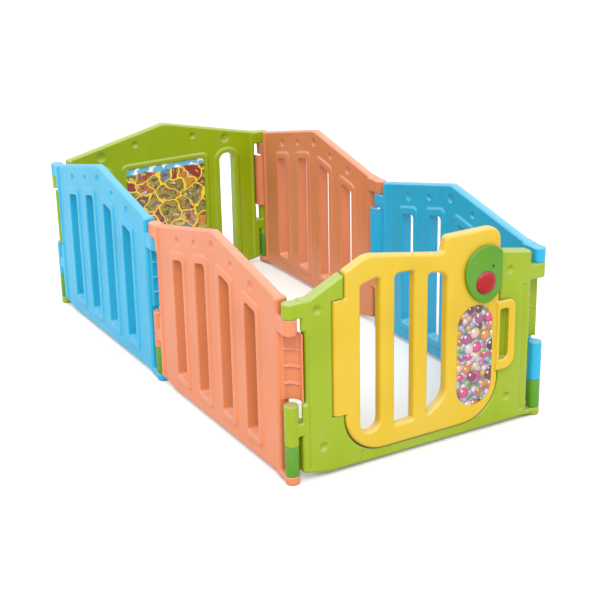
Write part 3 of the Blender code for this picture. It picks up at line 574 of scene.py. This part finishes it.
def gate_frame():
    """Left post, sill and right post in one piece, with a rear lip as the door's stop."""
    body = plate("frame", [frame_outline()], THICK, EDGE)
    front = THICK + 0.02
    pocket = moved(plate("pocket", [frame_opening()], front), y=STOP_Y - front / 2)
    through = open_topped(STOP_LEFT, STOP_RIGHT, SILL_STOP_TOP, 0.060, 12)
    finger_room = block(FINGER_ROOM[:2], (-THICK, -THICK / 2 + 0.008), FINGER_ROOM[2:])
    sill_relief = block((0.203, 0.600), (-THICK, -THICK / 2 + 0.003), (-0.01, SILL_TOP + 0.01))
    hole = DOOR_PIN_R * HOLE
    pins = [post(hole, NOTCH_Z[1] - 0.01, NOTCH_Z[1] + DOOR_PIN_REACH, DOOR_AXIS, PIN_SIDES),
            post(hole, NOTCH_Z[0] - DOOR_PIN_REACH, NOTCH_Z[0] + 0.01, DOOR_AXIS, PIN_SIDES)]
    return carve(body, [
        ("DIFFERENCE", pocket),
        ("DIFFERENCE", opening_chamfer()),
        ("DIFFERENCE", plate("through", [through], THICK * 2)),
        ("DIFFERENCE", finger_room),
        ("DIFFERENCE", sill_relief),
        ("DIFFERENCE", joined(dimple_cuts(GATE_DIMPLES) + groove_cuts())),
        ("DIFFERENCE", joined(pins)),
        *end_steps(),
    ])


def egg(inset=0.0, steps=96):
    """Egg outline, big end up, cut straight where the door ends."""
    points = []
    for k in range(steps):
        angle = 2 * math.pi * k / steps
        x = (EGG_TOP_R - inset) * math.cos(angle)
        z = (EGG_TOP_R - inset) * math.sin(angle)
        if z < 0:
            z = (EGG_DROP - inset) * math.sin(angle)
            x = (EGG_TOP_R - inset) * math.copysign(
                abs(math.cos(angle)) ** (2 / EGG_POWER), math.cos(angle))
        points.append(Vector((min(EGG_AT[0] + x, EGG_CUT_X - inset), EGG_AT[1] + z)))
    kept = []
    for point in points:
        if len(kept) > 1 and abs(point.x - kept[-1].x) + abs(point.x - kept[-2].x) < 1e-7:
            kept[-1] = point
        else:
            kept.append(point)
    return kept


def door_slots():
    """Three openings: the first rises with the door's shoulder, the last ends in a curve."""
    first, second, third = DOOR_SLOT_LEFT
    w, low = DOOR_SLOT_W, DOOR_SLOT_BOTTOM
    return [
        rounded([(first, low, 0.028), (first + w, low, 0.028),
                 (first + w, 0.533, 0.012), (first, 0.519, 0.012)], 10),
        rounded([(second, low, 0.008), (second + w, low, 0.008),
                 (second + w, 0.528, 0.012), (second, 0.530, 0.012)], 10),
        rounded([(third, low, 0.006), (third + w, 0.140, 0.060),
                 (third + w, 0.500, 0.030), (third, 0.512, 0.010)], 12),
    ]


def door():
    """The door with its ear, handle loop, three openings and room for the sound module."""
    axis_x, axis_y = DOOR_AXIS
    slab = moved(plate("door", [rounded(door_corners(), 14), *door_slots()], DOOR_THICK, 0.009, 5),
                 y=axis_y)
    ear = block((axis_x, DOOR_LEFT + 0.010), (axis_y - EAR_R, axis_y + EAR_R), EAR_Z)
    x0, x1 = HANDLE_X
    z0, z1 = HANDLE_Z
    outer = rounded([(x0, z0, 0), (x1, z0, 0.036), (x1, z1, 0.024), (x0, z1, 0)], 10)
    h0, h1, low, high = HANDLE_HOLE
    inner = rounded([(h0, low, 0.003), (h1, low, 0.016), (h1, high, 0.010), (h0, high, 0.003)], 8)
    handle = moved(plate("handle", [outer, inner], HANDLE_Y[1] - HANDLE_Y[0], 0.0045, 4),
                   y=sum(HANDLE_Y) / 2)
    tub_room = plate("tub_room", [egg(TUB_INSET - 0.0004)], 0.2)
    hole = DOOR_PIN_R * HOLE
    pins = [post(hole, EAR_Z[1] - DOOR_PIN_REACH, EAR_Z[1] + 0.01, DOOR_AXIS, PIN_SIDES),
            post(hole, EAR_Z[0] - 0.01, EAR_Z[0] + DOOR_PIN_REACH, DOOR_AXIS, PIN_SIDES)]
    return carve(slab, [
        ("UNION", ear),
        ("UNION", post(EAR_R + 0.00002, EAR_Z[0] + 0.0001, EAR_Z[1] - 0.0001, DOOR_AXIS, 32)),
        ("UNION", handle),
        ("DIFFERENCE", tub_room),
        ("DIFFERENCE", joined(pins)),
    ])


# ---- sound module ----
DOOR_BACK = DOOR_AXIS[1] + DOOR_THICK / 2


def sound_housing():
    """Egg-shaped front plate with a tub behind it that passes through the door."""
    front, seat = PLATE_Y
    face = moved(plate("face", [egg()], seat - front, 0.003, 4), y=(front + seat) / 2)
    tub_back = DOOR_BACK - 0.0035
    tub_front = front + 0.004
    tub = moved(plate("tub", [egg(TUB_INSET)], tub_back - tub_front), y=(tub_front + tub_back) / 2)
    room = moved(plate("room", [egg(TUB_INSET + TUB_WALL)], 0.1), y=front + 0.053)
    return carve(face, [
        ("UNION", tub),
        ("DIFFERENCE", room),
        ("DIFFERENCE", disc(BUTTON_R + 0.0006, (-0.1, 0), BUTTON_AT)),
        ("DIFFERENCE", disc(LED_R + GAP, (-0.1, 0), LED_AT, segments=12)),
    ])


def button():
    """Domed cap, turned about its own axis, with a flange that the housing holds back."""
    rim, front, flange = PLATE_Y[0], -FRONT_PROUD, PLATE_Y[0] + 0.0066
    bm = bmesh.new()
    rise = rim - front
    profile = [(0, front)]
    profile += [(BUTTON_R * math.sin(a), rim - rise * math.cos(a))
                for a in (math.radians(15 * k) for k in range(1, 7))]
    out, back = BUTTON_R + FLANGE_OUT, flange + FLANGE_THICK
    seat, end = SPRING_SEAT[0], flange + SPRING_SEAT[1]
    profile += [(BUTTON_R, flange), (out, flange), (out, back), (seat, back), (seat, end), (0, end)]
    points = [bm.verts.new((r, y, 0)) for r, y in profile]
    for a, b in zip(points, points[1:]):
        bm.edges.new((a, b))
    turned = new_object("turned", mesh_of(bm, "button"))
    screw = turned.modifiers.new("turn", "SCREW")
    screw.axis = "Y"
    screw.steps = screw.render_steps = 72
    screw.use_merge_vertices = True
    screw.merge_threshold = 0.00001
    result = evaluated(turned)
    bpy.data.objects.remove(turned)
    return moved(clean(result), BUTTON_AT[0], 0, BUTTON_AT[1])


# ---- soft moulded surfaces ----
def moulded(mesh, rounds, keep, firm=None):
    """Turn a crisp solid into a blow-moulded one: fine skin, soft edges, fewer triangles.

    firm(co) gives how much of the smoothing a point takes, from 0 to 1."""
    obj = new_object("moulding", mesh)
    remesh = obj.modifiers.new("skin", "REMESH")
    remesh.mode = "VOXEL"
    remesh.voxel_size = VOXEL
    remesh.use_smooth_shade = True
    fine = evaluated(obj)
    bpy.data.objects.remove(obj)
    obj = new_object("moulding", fine)
    smooth = obj.modifiers.new("soften", "SMOOTH")
    smooth.factor = 0.5
    smooth.iterations = rounds
    if firm:
        group = obj.vertex_groups.new(name="soft")
        levels = {}
        for v in fine.vertices:
            levels.setdefault(round(firm(v.co), 1), []).append(v.index)
        for weight, members in levels.items():
            group.add(members, weight, "REPLACE")
        smooth.vertex_group = "soft"
    if keep < 1:
        thin = obj.modifiers.new("thin", "DECIMATE")
        thin.ratio = keep
    done = evaluated(obj)
    bpy.data.objects.remove(obj)
    done.shade_smooth()
    return done


# ---- materials ----
class Nodes:
    """Adds and wires the shader nodes of one material."""

    def __init__(self, name):
        self.material = bpy.data.materials.new(name)
        self.material.use_nodes = True
        self.tree = self.material.node_tree
        self.shader = self.tree.nodes["Principled BSDF"]

    def add(self, kind, inputs=None, **settings):
        """New node; an input is a value or a socket to link from."""
        node = self.tree.nodes.new(kind)
        for key, value in settings.items():
            setattr(node, key, value)
        for key, value in (inputs or {}).items():
            if isinstance(value, bpy.types.NodeSocket):
                self.tree.links.new(value, node.inputs[key])
            else:
                node.inputs[key].default_value = value
        return node

    def link(self, socket, name):
        """Feed an input of the material's own shader."""
        self.tree.links.new(socket, self.shader.inputs[name])

    def math(self, operation, a, b=0.5, clamp=False):
        """Result of a sum on one or two values."""
        return self.add("ShaderNodeMath", {0: a, 1: b}, operation=operation,
                        use_clamp=clamp).outputs[0]

    def times(self, a, b):
        """Product of two values."""
        return self.math("MULTIPLY", a, b)

    def mix(self, factor, a, b, blend="MIX"):
        """Colour mix; inputs 0, 6 and 7 are the factor and the two colours of an RGBA mix."""
        a, b = ((*value, 1) if isinstance(value, tuple) else value for value in (a, b))
        return self.add("ShaderNodeMix", {0: factor, 6: a, 7: b}, data_type="RGBA",
                        blend_type=blend).outputs[2]

    def ramp(self, value, stops):
        """Colour ramp from (position, colour or grey level) stops."""
        node = self.add("ShaderNodeValToRGB", {"Fac": value})
        ramp = node.color_ramp
        while len(ramp.elements) < len(stops):
            ramp.elements.new(0.5)
        for element, (at, colour) in zip(ramp.elements, stops):
            element.position = at
            element.color = (*colour, 1) if isinstance(colour, tuple) else (colour,) * 3 + (1,)
        return node.outputs["Color"]

    def noise(self, where, scale, detail=3.0, rough=0.5):
        """Cloudy grey pattern."""
        return self.add("ShaderNodeTexNoise", {"Vector": where, "Scale": scale, "Detail": detail,
                                               "Roughness": rough}).outputs["Fac"]

    def stretched(self, where, scale):
        """Texture position scaled by a different amount along each axis."""
        return self.add("ShaderNodeMapping", {"Vector": where, "Scale": scale}).outputs["Vector"]

    def split(self, vector):
        """The x, y and z of a vector."""
        return self.add("ShaderNodeSeparateXYZ", {"Vector": vector}).outputs

    def vector(self, operation, a, b):
        """Result of a sum on two vectors."""
        return self.add("ShaderNodeVectorMath", {0: a, 1: b}, operation=operation).outputs[0]

    def bump(self, height, strength, distance):
        """Small relief on the material's surface."""
        node = self.add("ShaderNodeBump",
                        {"Strength": strength, "Distance": distance, "Height": height})
        self.link(node.outputs["Normal"], "Normal")


def srgb(r, g, b):
    """Linear colour of an sRGB triple, 0 to 255."""
    def lin(v):
        v /= 255
        return v / 12.92 if v <= 0.04045 else ((v + 0.055) / 1.055) ** 2.4
    return lin(r), lin(g), lin(b)


EDGE_WEAR_AND_HIGHLIGHT = 0.18         # paler along sharp edges: rubbed wear and a painted highlight
UNDER_SHADE = 0.8        # darker where a face looks down
PEBBLE = 0.00004         # height of the moulded pebble
SINK = 0.0008            # height of the broad unevenness of a blown wall
SEAM = (1400.0, 0.00035)   # parting seam at the panel's middle plane: 1 / half width, height


def plastic(name, colour, rough=0.33, grain=1.0, seam=False, top_light=0.6, shine=0.34):
    """Moulded polyethylene: faint swirls of pigment, painted light on upward faces and a fine
    pebble.
    """
    n = Nodes(name)
    # paler tone for the painted highlight along edges and the painted light on upward faces
    light = tuple(0.78 * c + 0.16 for c in colour)
    dark = tuple(0.80 * c for c in colour)
    where = n.add("ShaderNodeTexCoord").outputs["Object"]
    cloud = n.noise(where, 4.0, 1.0, 0.5)
    streak = n.noise(n.stretched(where, (6.0, 6.0, 1.0)), 3.0, 1.0, 0.5)
    tone = n.math("ADD", n.times(cloud, 0.7), n.times(streak, 0.3))
    body = n.ramp(tone, [(0.1, dark), (0.5, colour), (1.0, tuple(0.9 * c + 0.05 for c in colour))])
    # sharp edges mixed toward the paler tone: rubbed wear and a painted highlight
    edge = n.ramp(n.add("ShaderNodeNewGeometry").outputs["Pointiness"], [(0.515, 0.0), (0.60, 1.0)])
    body = n.mix(n.times(edge, EDGE_WEAR_AND_HIGHLIGHT), body, light)
    lean = n.split(n.add("ShaderNodeTexCoord").outputs["Normal"])["Z"]
    # painted light: faces that look up are mixed toward the paler tone, as if lit from above
    body = n.mix(n.times(n.ramp(lean, [(0.10, 0.0), (0.60, 1.0)]), top_light), body, light)
    under = n.ramp(n.times(lean, -1.0), [(0.05, 0.0), (0.50, 1.0)])
    n.link(n.mix(n.times(under, UNDER_SHADE), body, dark), "Base Color")
    scuff_at = n.stretched(where, (3.0, 3.0, 14.0))
    scuffs = n.ramp(n.noise(scuff_at, 9.0, 5.0, 0.6), [(0.60, 0.0), (0.74, 1.0)])
    haze = n.math("ADD", n.times(n.noise(where, 20.0, 2.0, 0.5), 0.06), rough - 0.03)
    n.link(n.math("ADD", haze, n.times(scuffs, 0.05)), "Roughness")
    height = n.math("ADD", n.times(n.noise(where, 820.0, 2.0, 0.5), PEBBLE * grain),
                    n.times(n.noise(where, 9.0, 1.0, 0.3), SINK * grain))
    if seam:
        away = n.times(n.math("ABSOLUTE", n.split(where)["Y"]), SEAM[0])
        ridge = n.math("SUBTRACT", 1.0, away, True)
        height = n.math("ADD", height, n.times(ridge, SEAM[1]))
    n.bump(height, 0.5, 1.0)
    n.shader.inputs["Specular IOR Level"].default_value = shine
    n.shader.inputs["Subsurface Weight"].default_value = 0.05
    n.shader.inputs["Subsurface Radius"].default_value = (0.004, 0.004, 0.004)
    return n.material


def metal(name, colour=(0.62, 0.62, 0.64), rough=0.28):
    """Turned steel with fine tool marks."""
    n = Nodes(name)
    where = n.add("ShaderNodeTexCoord").outputs["Object"]
    marks = n.noise(n.stretched(where, (40.0, 40.0, 900.0)), 6.0, 3.0, 0.6)
    n.link(n.mix(marks, tuple(c * 0.8 for c in colour), colour), "Base Color")
    n.link(n.math("ADD", n.times(marks, 0.1), rough), "Roughness")
    n.bump(marks, 0.3, 0.0003)
    n.shader.inputs["Metallic"].default_value = 1.0
    return n.material


def circuit(name):
    """Green solder resist with paler tracks under it."""
    n = Nodes(name)
    where = n.add("ShaderNodeTexCoord").outputs["Object"]
    away = n.add("ShaderNodeTexVoronoi", {"Vector": where, "Scale": 260.0}, distance="MANHATTAN",
                 feature="DISTANCE_TO_EDGE").outputs["Distance"]
    tracks = n.ramp(away, [(0.03, 1.0), (0.07, 0.0)])
    n.link(n.mix(tracks, (0.02, 0.16, 0.05), (0.10, 0.40, 0.14)), "Base Color")
    n.bump(tracks, 0.4, 0.0002)
    n.shader.inputs["Roughness"].default_value = 0.3
    return n.material


# ---- printed surfaces ----
INK = 0.72               # the prints' inks are this much darker than their named colours
PATCHES = ((168, 160, 70), (222, 160, 60), (190, 152, 130), (158, 58, 44),
           (136, 150, 70), (205, 180, 150), (216, 120, 50), (110, 150, 170))
SHAPES = ((190, 70, 50), (226, 190, 90), (120, 140, 60), (225, 205, 190), (150, 110, 130),
          (226, 140, 60), (90, 120, 60), (120, 70, 50), (240, 220, 130), (170, 90, 60))
LANE, KERB, OUTLINE, DUST = (232, 196, 58), (112, 74, 34), (92, 62, 36), (110, 84, 44)
SKY, CLOUD = (96, 170, 190), (236, 236, 240)
SMALL_BALLS = ((172, 164, 206), (150, 176, 196), (196, 112, 160), (150, 178, 128),
               (206, 196, 216), (226, 160, 96), (124, 162, 140), (226, 206, 212))
LARGE_BALLS = ((150, 44, 98), (226, 146, 60), (128, 66, 38), (232, 196, 172), (190, 104, 50),
               (220, 70, 130), (120, 150, 58), (110, 52, 34), (168, 84, 140), (52, 34, 38),
               (206, 120, 60), (214, 206, 212))


def cells(n, where, scale, randomness=1.0):
    """Distance from the nearest point of a plane pattern, and two random values of its cell."""
    inputs = {"Vector": where, "Scale": scale, "Randomness": randomness}
    cell = n.add("ShaderNodeTexVoronoi", inputs, voronoi_dimensions="2D")
    keys = n.add("ShaderNodeSeparateColor", {"Color": cell.outputs["Color"]}).outputs
    return cell.outputs["Distance"], keys[0], keys[1]


def palette(n, key, colours):
    """One of the colours, evenly by the key."""
    node = n.add("ShaderNodeValToRGB", {"Fac": key})
    elements = node.color_ramp.elements
    node.color_ramp.interpolation = "CONSTANT"
    while len(elements) < len(colours):
        elements.new(0.5)
    for k, (element, colour) in enumerate(zip(elements, colours)):
        element.position = k / len(colours)
        element.color = (*(INK * c for c in srgb(*colour)), 1)
    return node.outputs["Color"]


def face_plane(n):
    """Position on an upright face: x and z become the two directions of a plane pattern."""
    where = n.add("ShaderNodeTexCoord").outputs["Object"]
    x, _, z = n.split(where)
    return where, n.add("ShaderNodeCombineXYZ", {0: x, 1: z}).outputs[0], z


def printed(n, picture, where, coat):
    """Finish shared by both prints: thin glossy film over a slightly uneven backing."""
    n.link(picture, "Base Color")
    n.link(n.math("ADD", n.times(n.noise(where, 50.0), 0.12), 0.28), "Roughness")
    n.bump(n.noise(where, 500.0), 0.4, 0.0003)
    n.shader.inputs["Coat Weight"].default_value = coat
    return n.material


def play_print(name, low, high):
    """Printed play board: winding lanes round patches of colour, each full of small shapes."""
    n = Nodes(name)
    where, flat, z = face_plane(n)
    warp = n.add("ShaderNodeTexNoise", {"Vector": flat, "Scale": 13.0, "Detail": 2.0})
    shift = n.vector("SUBTRACT", warp.outputs["Color"], (0.5, 0.5, 0.5))
    shift = n.vector("MULTIPLY", shift, (0.10, 0.07, 0.0))
    bent = n.vector("MULTIPLY", n.vector("ADD", flat, shift), (1.0, 1.35, 1.0))
    edge = n.add("ShaderNodeTexVoronoi", {"Vector": bent, "Scale": 15.0},
                 feature="DISTANCE_TO_EDGE", voronoi_dimensions="2D").outputs["Distance"]
    _, kind, _ = cells(n, bent, 15.0)
    picture = palette(n, kind, PATCHES)
    for scale, size, share, line in ((36.0, 0.44, 0.36, 0.07), (74.0, 0.42, 0.45, 0.10)):
        reach, hue, pick = cells(n, bent, scale)
        tint = palette(n, hue, SHAPES)
        shown = n.math("GREATER_THAN", pick, share)
        spot = n.ramp(reach, [(size - 0.02, 1.0), (size, 0.0)])
        core = n.ramp(reach, [(size - line - 0.02, 1.0), (size - line, 0.0)])
        picture = n.mix(n.times(n.times(spot, shown), 0.85), picture, srgb(*OUTLINE))
        picture = n.mix(n.times(n.times(core, shown), 0.92), picture, tint)
    picture = n.mix(n.ramp(edge, [(0.078, 1.0), (0.088, 0.0)]), picture, srgb(*KERB))
    picture = n.mix(n.ramp(edge, [(0.052, 1.0), (0.062, 0.0)]), picture, srgb(*LANE))
    dust = n.ramp(n.noise(flat, 210.0, 3.0, 0.6), [(0.56, 0.0), (0.64, 1.0)])
    picture = n.mix(n.times(dust, 0.35), picture, srgb(*DUST))
    height = n.math("DIVIDE", n.math("SUBTRACT", z, low), high - low)
    hills = n.math("ADD", height, n.times(n.noise(flat, 16.0, 2.0, 0.5), 0.10))
    clouds = n.ramp(n.noise(flat, 24.0, 3.0, 0.5), [(0.50, srgb(*SKY)), (0.56, srgb(*CLOUD))])
    picture = n.mix(n.ramp(hills, [(0.965, 0.0), (0.975, 1.0)]), picture, clouds)
    return printed(n, picture, where, 0.3)


def ball_print(name):
    """Printed sticker: a heap of plain coloured balls, big ones lying among small ones."""
    n = Nodes(name)
    where, flat, _ = face_plane(n)
    picture = None
    for scale, size, share, colours in ((58.0, 0.55, 0.0, SMALL_BALLS),
                                        (36.0, 0.43, 0.45, LARGE_BALLS),
                                        (25.0, 0.42, 0.40, LARGE_BALLS)):
        reach, hue, pick = cells(n, flat, scale, 0.8)
        shade = n.ramp(reach, [(0.0, 1.0), (size * 0.7, 0.80), (size, 0.42)])
        ball = n.mix(1.0, palette(n, hue, colours), shade, "MULTIPLY")
        aside = n.vector("ADD", flat, (0.15 / scale, -0.17 / scale, 0.0))
        spark = n.ramp(cells(n, aside, scale, 0.8)[0], [(0.05, 1.0), (0.13, 0.0)])
        ball = n.mix(n.times(spark, 0.55), ball, (1.0, 1.0, 1.0))
        if picture is None:
            picture = ball
        else:
            shown = n.times(n.ramp(reach, [(size - 0.02, 1.0), (size, 0.0)]),
                            n.math("GREATER_THAN", pick, share))
            picture = n.mix(shown, picture, ball)
    return printed(n, picture, where, 0.4)


ORANGE = plastic("orange_skin", (0.585, 0.185, 0.076), seam=True)
BLUE = plastic("blue_skin", (0.012, 0.328, 0.535), seam=True)
LIME = plastic("lime_skin", (0.242, 0.330, 0.002), seam=True)
YELLOW = plastic("yellow_skin", (0.552, 0.370, 0.012), seam=True)
GREEN = plastic("green_skin", (0.072, 0.230, 0.002), rough=0.34, top_light=0.3, shine=0.3)
WHITE = plastic("white_skin", (0.600, 0.600, 0.570))
BLACK = plastic("black_skin", (0.010, 0.010, 0.012), top_light=0.1)
RED = plastic("red_cap", (0.300, 0.002, 0.003), rough=0.30, grain=0.3, top_light=0.25, shine=0.25)
LENS = plastic("lens_skin", (0.008, 0.010, 0.007), rough=0.12, grain=0.2, top_light=0.0)
STEEL = metal("turned_steel")
RESIST = circuit("solder_resist")


# ---- placing ----
def axis_of(stem):
    """x and y of a joint's axis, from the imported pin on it."""
    low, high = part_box(stem + "_upper_pin")
    return (low[0] + high[0]) / 2, (low[1] + high[1]) / 2


# panel node: (stem of the joint at its lug end, turn, skin, record slot, body)
PANELS = {
    "gate_frame": ("front_left", 0, LIME, "lime_plastic", "gate"),
    "left_near_panel": ("middle_left", -90, ORANGE, "orange_plastic", "left_near"),
    "left_far_panel": ("rear_left", -90, BLUE, "blue_plastic", "left_far"),
    "picture_panel": ("rear_right", 180, LIME, "lime_plastic", "picture"),
    "right_far_panel": ("middle_right", 90, ORANGE, "orange_plastic", "right_far"),
    "right_near_panel": ("front_right", 90, BLUE, "blue_plastic", "right_near"),
}
PLACE = {name: Matrix.Translation((*axis_of(stem), 0)) @ Matrix.Rotation(math.radians(turn), 4, "Z")
         for name, (stem, turn, *_) in PANELS.items()}


def put(name, mesh, panel, skin, body, node):
    """Place a piece drawn in its panel's frame, give it its skin, and let it ride for its node."""
    obj = new_object(name, mesh)
    obj.matrix_world = PLACE[panel]
    if not mesh.materials:
        mesh.materials.append(None)
    obj.material_slots[0].link = "OBJECT"
    obj.material_slots[0].material = skin
    bpy.context.view_layer.update()
    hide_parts(node)
    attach(obj, body)


def creased(mesh, degrees):
    """Smooth shading that stays crisp over sharp edges."""
    mesh.shade_smooth()
    mesh.set_sharp_from_angle(angle=math.radians(degrees))
    return mesh


def panel_give(co):
    """Share of the smoothing: hinge pieces and the finger guard keep more of their shape."""
    if co.x > PITCH - 0.034 and GUARD[0] - 0.002 < co.z < GUARD[1] + 0.002:
        return 0.25
    if co.x < 0.022 or co.x > PITCH - 0.030:
        return 0.5
    return 1.0


def make_panels():
    """The side panels share one mesh; the gate's frame and the picture panel have their own."""
    shared = moulded(side_panel(), *PANEL_FINISH, panel_give)
    for name, (_, _, skin, slot, body) in PANELS.items():
        mesh = shared
        if name == "gate_frame":
            mesh = moulded(gate_frame(), *PANEL_FINISH, panel_give)
        if name == "picture_panel":
            mesh = moulded(picture_panel(), *PANEL_FINISH, panel_give)
        put(name.replace("_panel", "") + "_moulding", mesh, name, skin, body, name)


def make_locks():
    """Joint locks: plain cylinders with rounded ends, their stubs hidden in the lugs."""
    stub_ends = FOOT[1] - STUB_DOWN + 0.0005, LOWER_LUG[0] + STUB_UP - 0.0005
    lock = carve(post(KNUCKLE_R - 0.0005, *LOCK, (PITCH, 0), 64, 0.0022), [
        ("UNION", post(STUB_R, *stub_ends, (PITCH, 0), 48, 0.001)),
    ])
    creased(lock, 40)
    for joint, panel in (("front_right", "gate_frame"), ("front_left", "left_near_panel"),
                         ("middle_left", "left_far_panel"), ("rear_left", "picture_panel"),
                         ("rear_right", "right_far_panel"), ("middle_right", "right_near_panel")):
        put(joint + "_lock_cylinder", lock, panel, GREEN, PANELS[panel][4],
            joint + "_joint_lock")


def make_door():
    """The door, and what shows of its sound module."""
    put("door_moulding", moulded(door(), *DOOR_FINISH), "gate_frame", YELLOW, "door",
        "gate_door")
    put("sound_shell", creased(sound_housing(), 42), "gate_frame", GREEN, "door",
        "sound_housing")
    put("push_cap", creased(button(), 50), "gate_frame", RED, "button",
        "red_button")


def finish_cad_nodes():
    """The CAD nodes that stay on show get their skins."""
    low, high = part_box("picture_board")
    skins = {"picture_board": play_print("play_board_print", low[2], high[2]),
             "door_sticker": ball_print("sticker_print"), "circuit_board": RESIST, "speaker": BLACK,
             "battery_cover": GREEN, "indicator_lens": LENS}
    for name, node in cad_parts.items():
        skin = skins.get(name)
        if name.endswith("_upper_pin") and "door" not in name:
            skin = WHITE
        elif skin is None:
            skin = STEEL
        if not node.material_slots:
            node.data.materials.append(skin)
        for slot in node.material_slots:
            slot.material = skin


# ---- floor, light, camera ----
FLOOR_HALF = 30
FLOOR_BELOW = 0.0003
PAPER = ((0.78, 0.78, 0.78), (0.80, 0.80, 0.80))
# soft box all round and overhead: brightness by the sine of the height above the horizon
SOFT_BOX = ((0.0, 0.40), (0.22, 0.40), (0.30, 0.90), (0.80, 1.0))
WORLD = 1.56
KEY_POWER, KEY_ANGLE = 1.85, 0.6
KEY_DIRECTION = (2.2, 3.2, -4.2)
CAMERA_TURN = (-0.520394821, 0.36382057, -0.020453471)   # azimuth, elevation and roll
CAMERA_TARGET = (-0.01522, -0.17414, 0.24)
CAMERA_AWAY = 4.33357
LENS_MM, SENSOR_MM = 85.11, 36.0


def make_stage():
    """Pale floor, and a soft box for a sky."""
    bm = bmesh.new()
    bmesh.ops.create_grid(bm, x_segments=2, y_segments=2, size=FLOOR_HALF)
    floor = new_object("floor", mesh_of(bm, "floor"))
    floor.location.z = -FLOOR_BELOW
    n = Nodes("floor_paper")
    where = n.add("ShaderNodeTexCoord").outputs["Object"]
    n.link(n.mix(n.noise(where, 0.6), *PAPER), "Base Color")
    n.shader.inputs["Roughness"].default_value = 0.9
    n.shader.inputs["Specular IOR Level"].default_value = 0.1
    floor.data.materials.append(n.material)
    world = bpy.data.worlds.new("studio")
    SCENE.world = world
    world.use_nodes = True
    tree = world.node_tree
    up = tree.nodes.new("ShaderNodeSeparateXYZ")
    tree.links.new(tree.nodes.new("ShaderNodeTexCoord").outputs["Generated"], up.inputs[0])
    ring = tree.nodes.new("ShaderNodeValToRGB")
    while len(ring.color_ramp.elements) < len(SOFT_BOX):
        ring.color_ramp.elements.new(0.5)
    for element, (at, level) in zip(ring.color_ramp.elements, SOFT_BOX):
        element.position = at
        element.color = (level, level, level, 1)
    tree.links.new(up.outputs["Z"], ring.inputs["Fac"])
    tree.links.new(ring.outputs[0], tree.nodes["Background"].inputs["Color"])
    tree.nodes["Background"].inputs["Strength"].default_value = WORLD


def make_light():
    """Broad soft key from the front left, high enough to reach over the near panels."""
    light = bpy.data.lights.new("key", "SUN")
    light.energy = KEY_POWER
    light.angle = KEY_ANGLE
    obj = bpy.data.objects.new("key", light)
    SCENE.collection.objects.link(obj)
    obj.rotation_euler = Vector(KEY_DIRECTION).to_track_quat("-Z", "Y").to_euler()


def make_camera():
    """Camera as it was fitted to the photographed view."""
    az, el, roll = CAMERA_TURN
    back = Vector((math.sin(az) * math.cos(el), -math.cos(az) * math.cos(el), math.sin(el)))
    right = Vector((0, 0, 1)).cross(back).normalized()
    turn = Matrix((right, back.cross(right), back)).transposed() @ Matrix.Rotation(roll, 3, "Z")
    data = bpy.data.cameras.new("camera")
    data.sensor_width = SENSOR_MM
    data.lens = LENS_MM
    camera = bpy.data.objects.new("camera", data)
    SCENE.collection.objects.link(camera)
    place = Vector(CAMERA_TARGET) + back * CAMERA_AWAY
    camera.matrix_world = Matrix.Translation(place) @ turn.to_4x4()
    SCENE.camera = camera


SCENE.view_settings.view_transform = "Standard"
make_camera()
make_panels()
make_locks()
make_door()
finish_cad_nodes()
make_stage()
make_light()
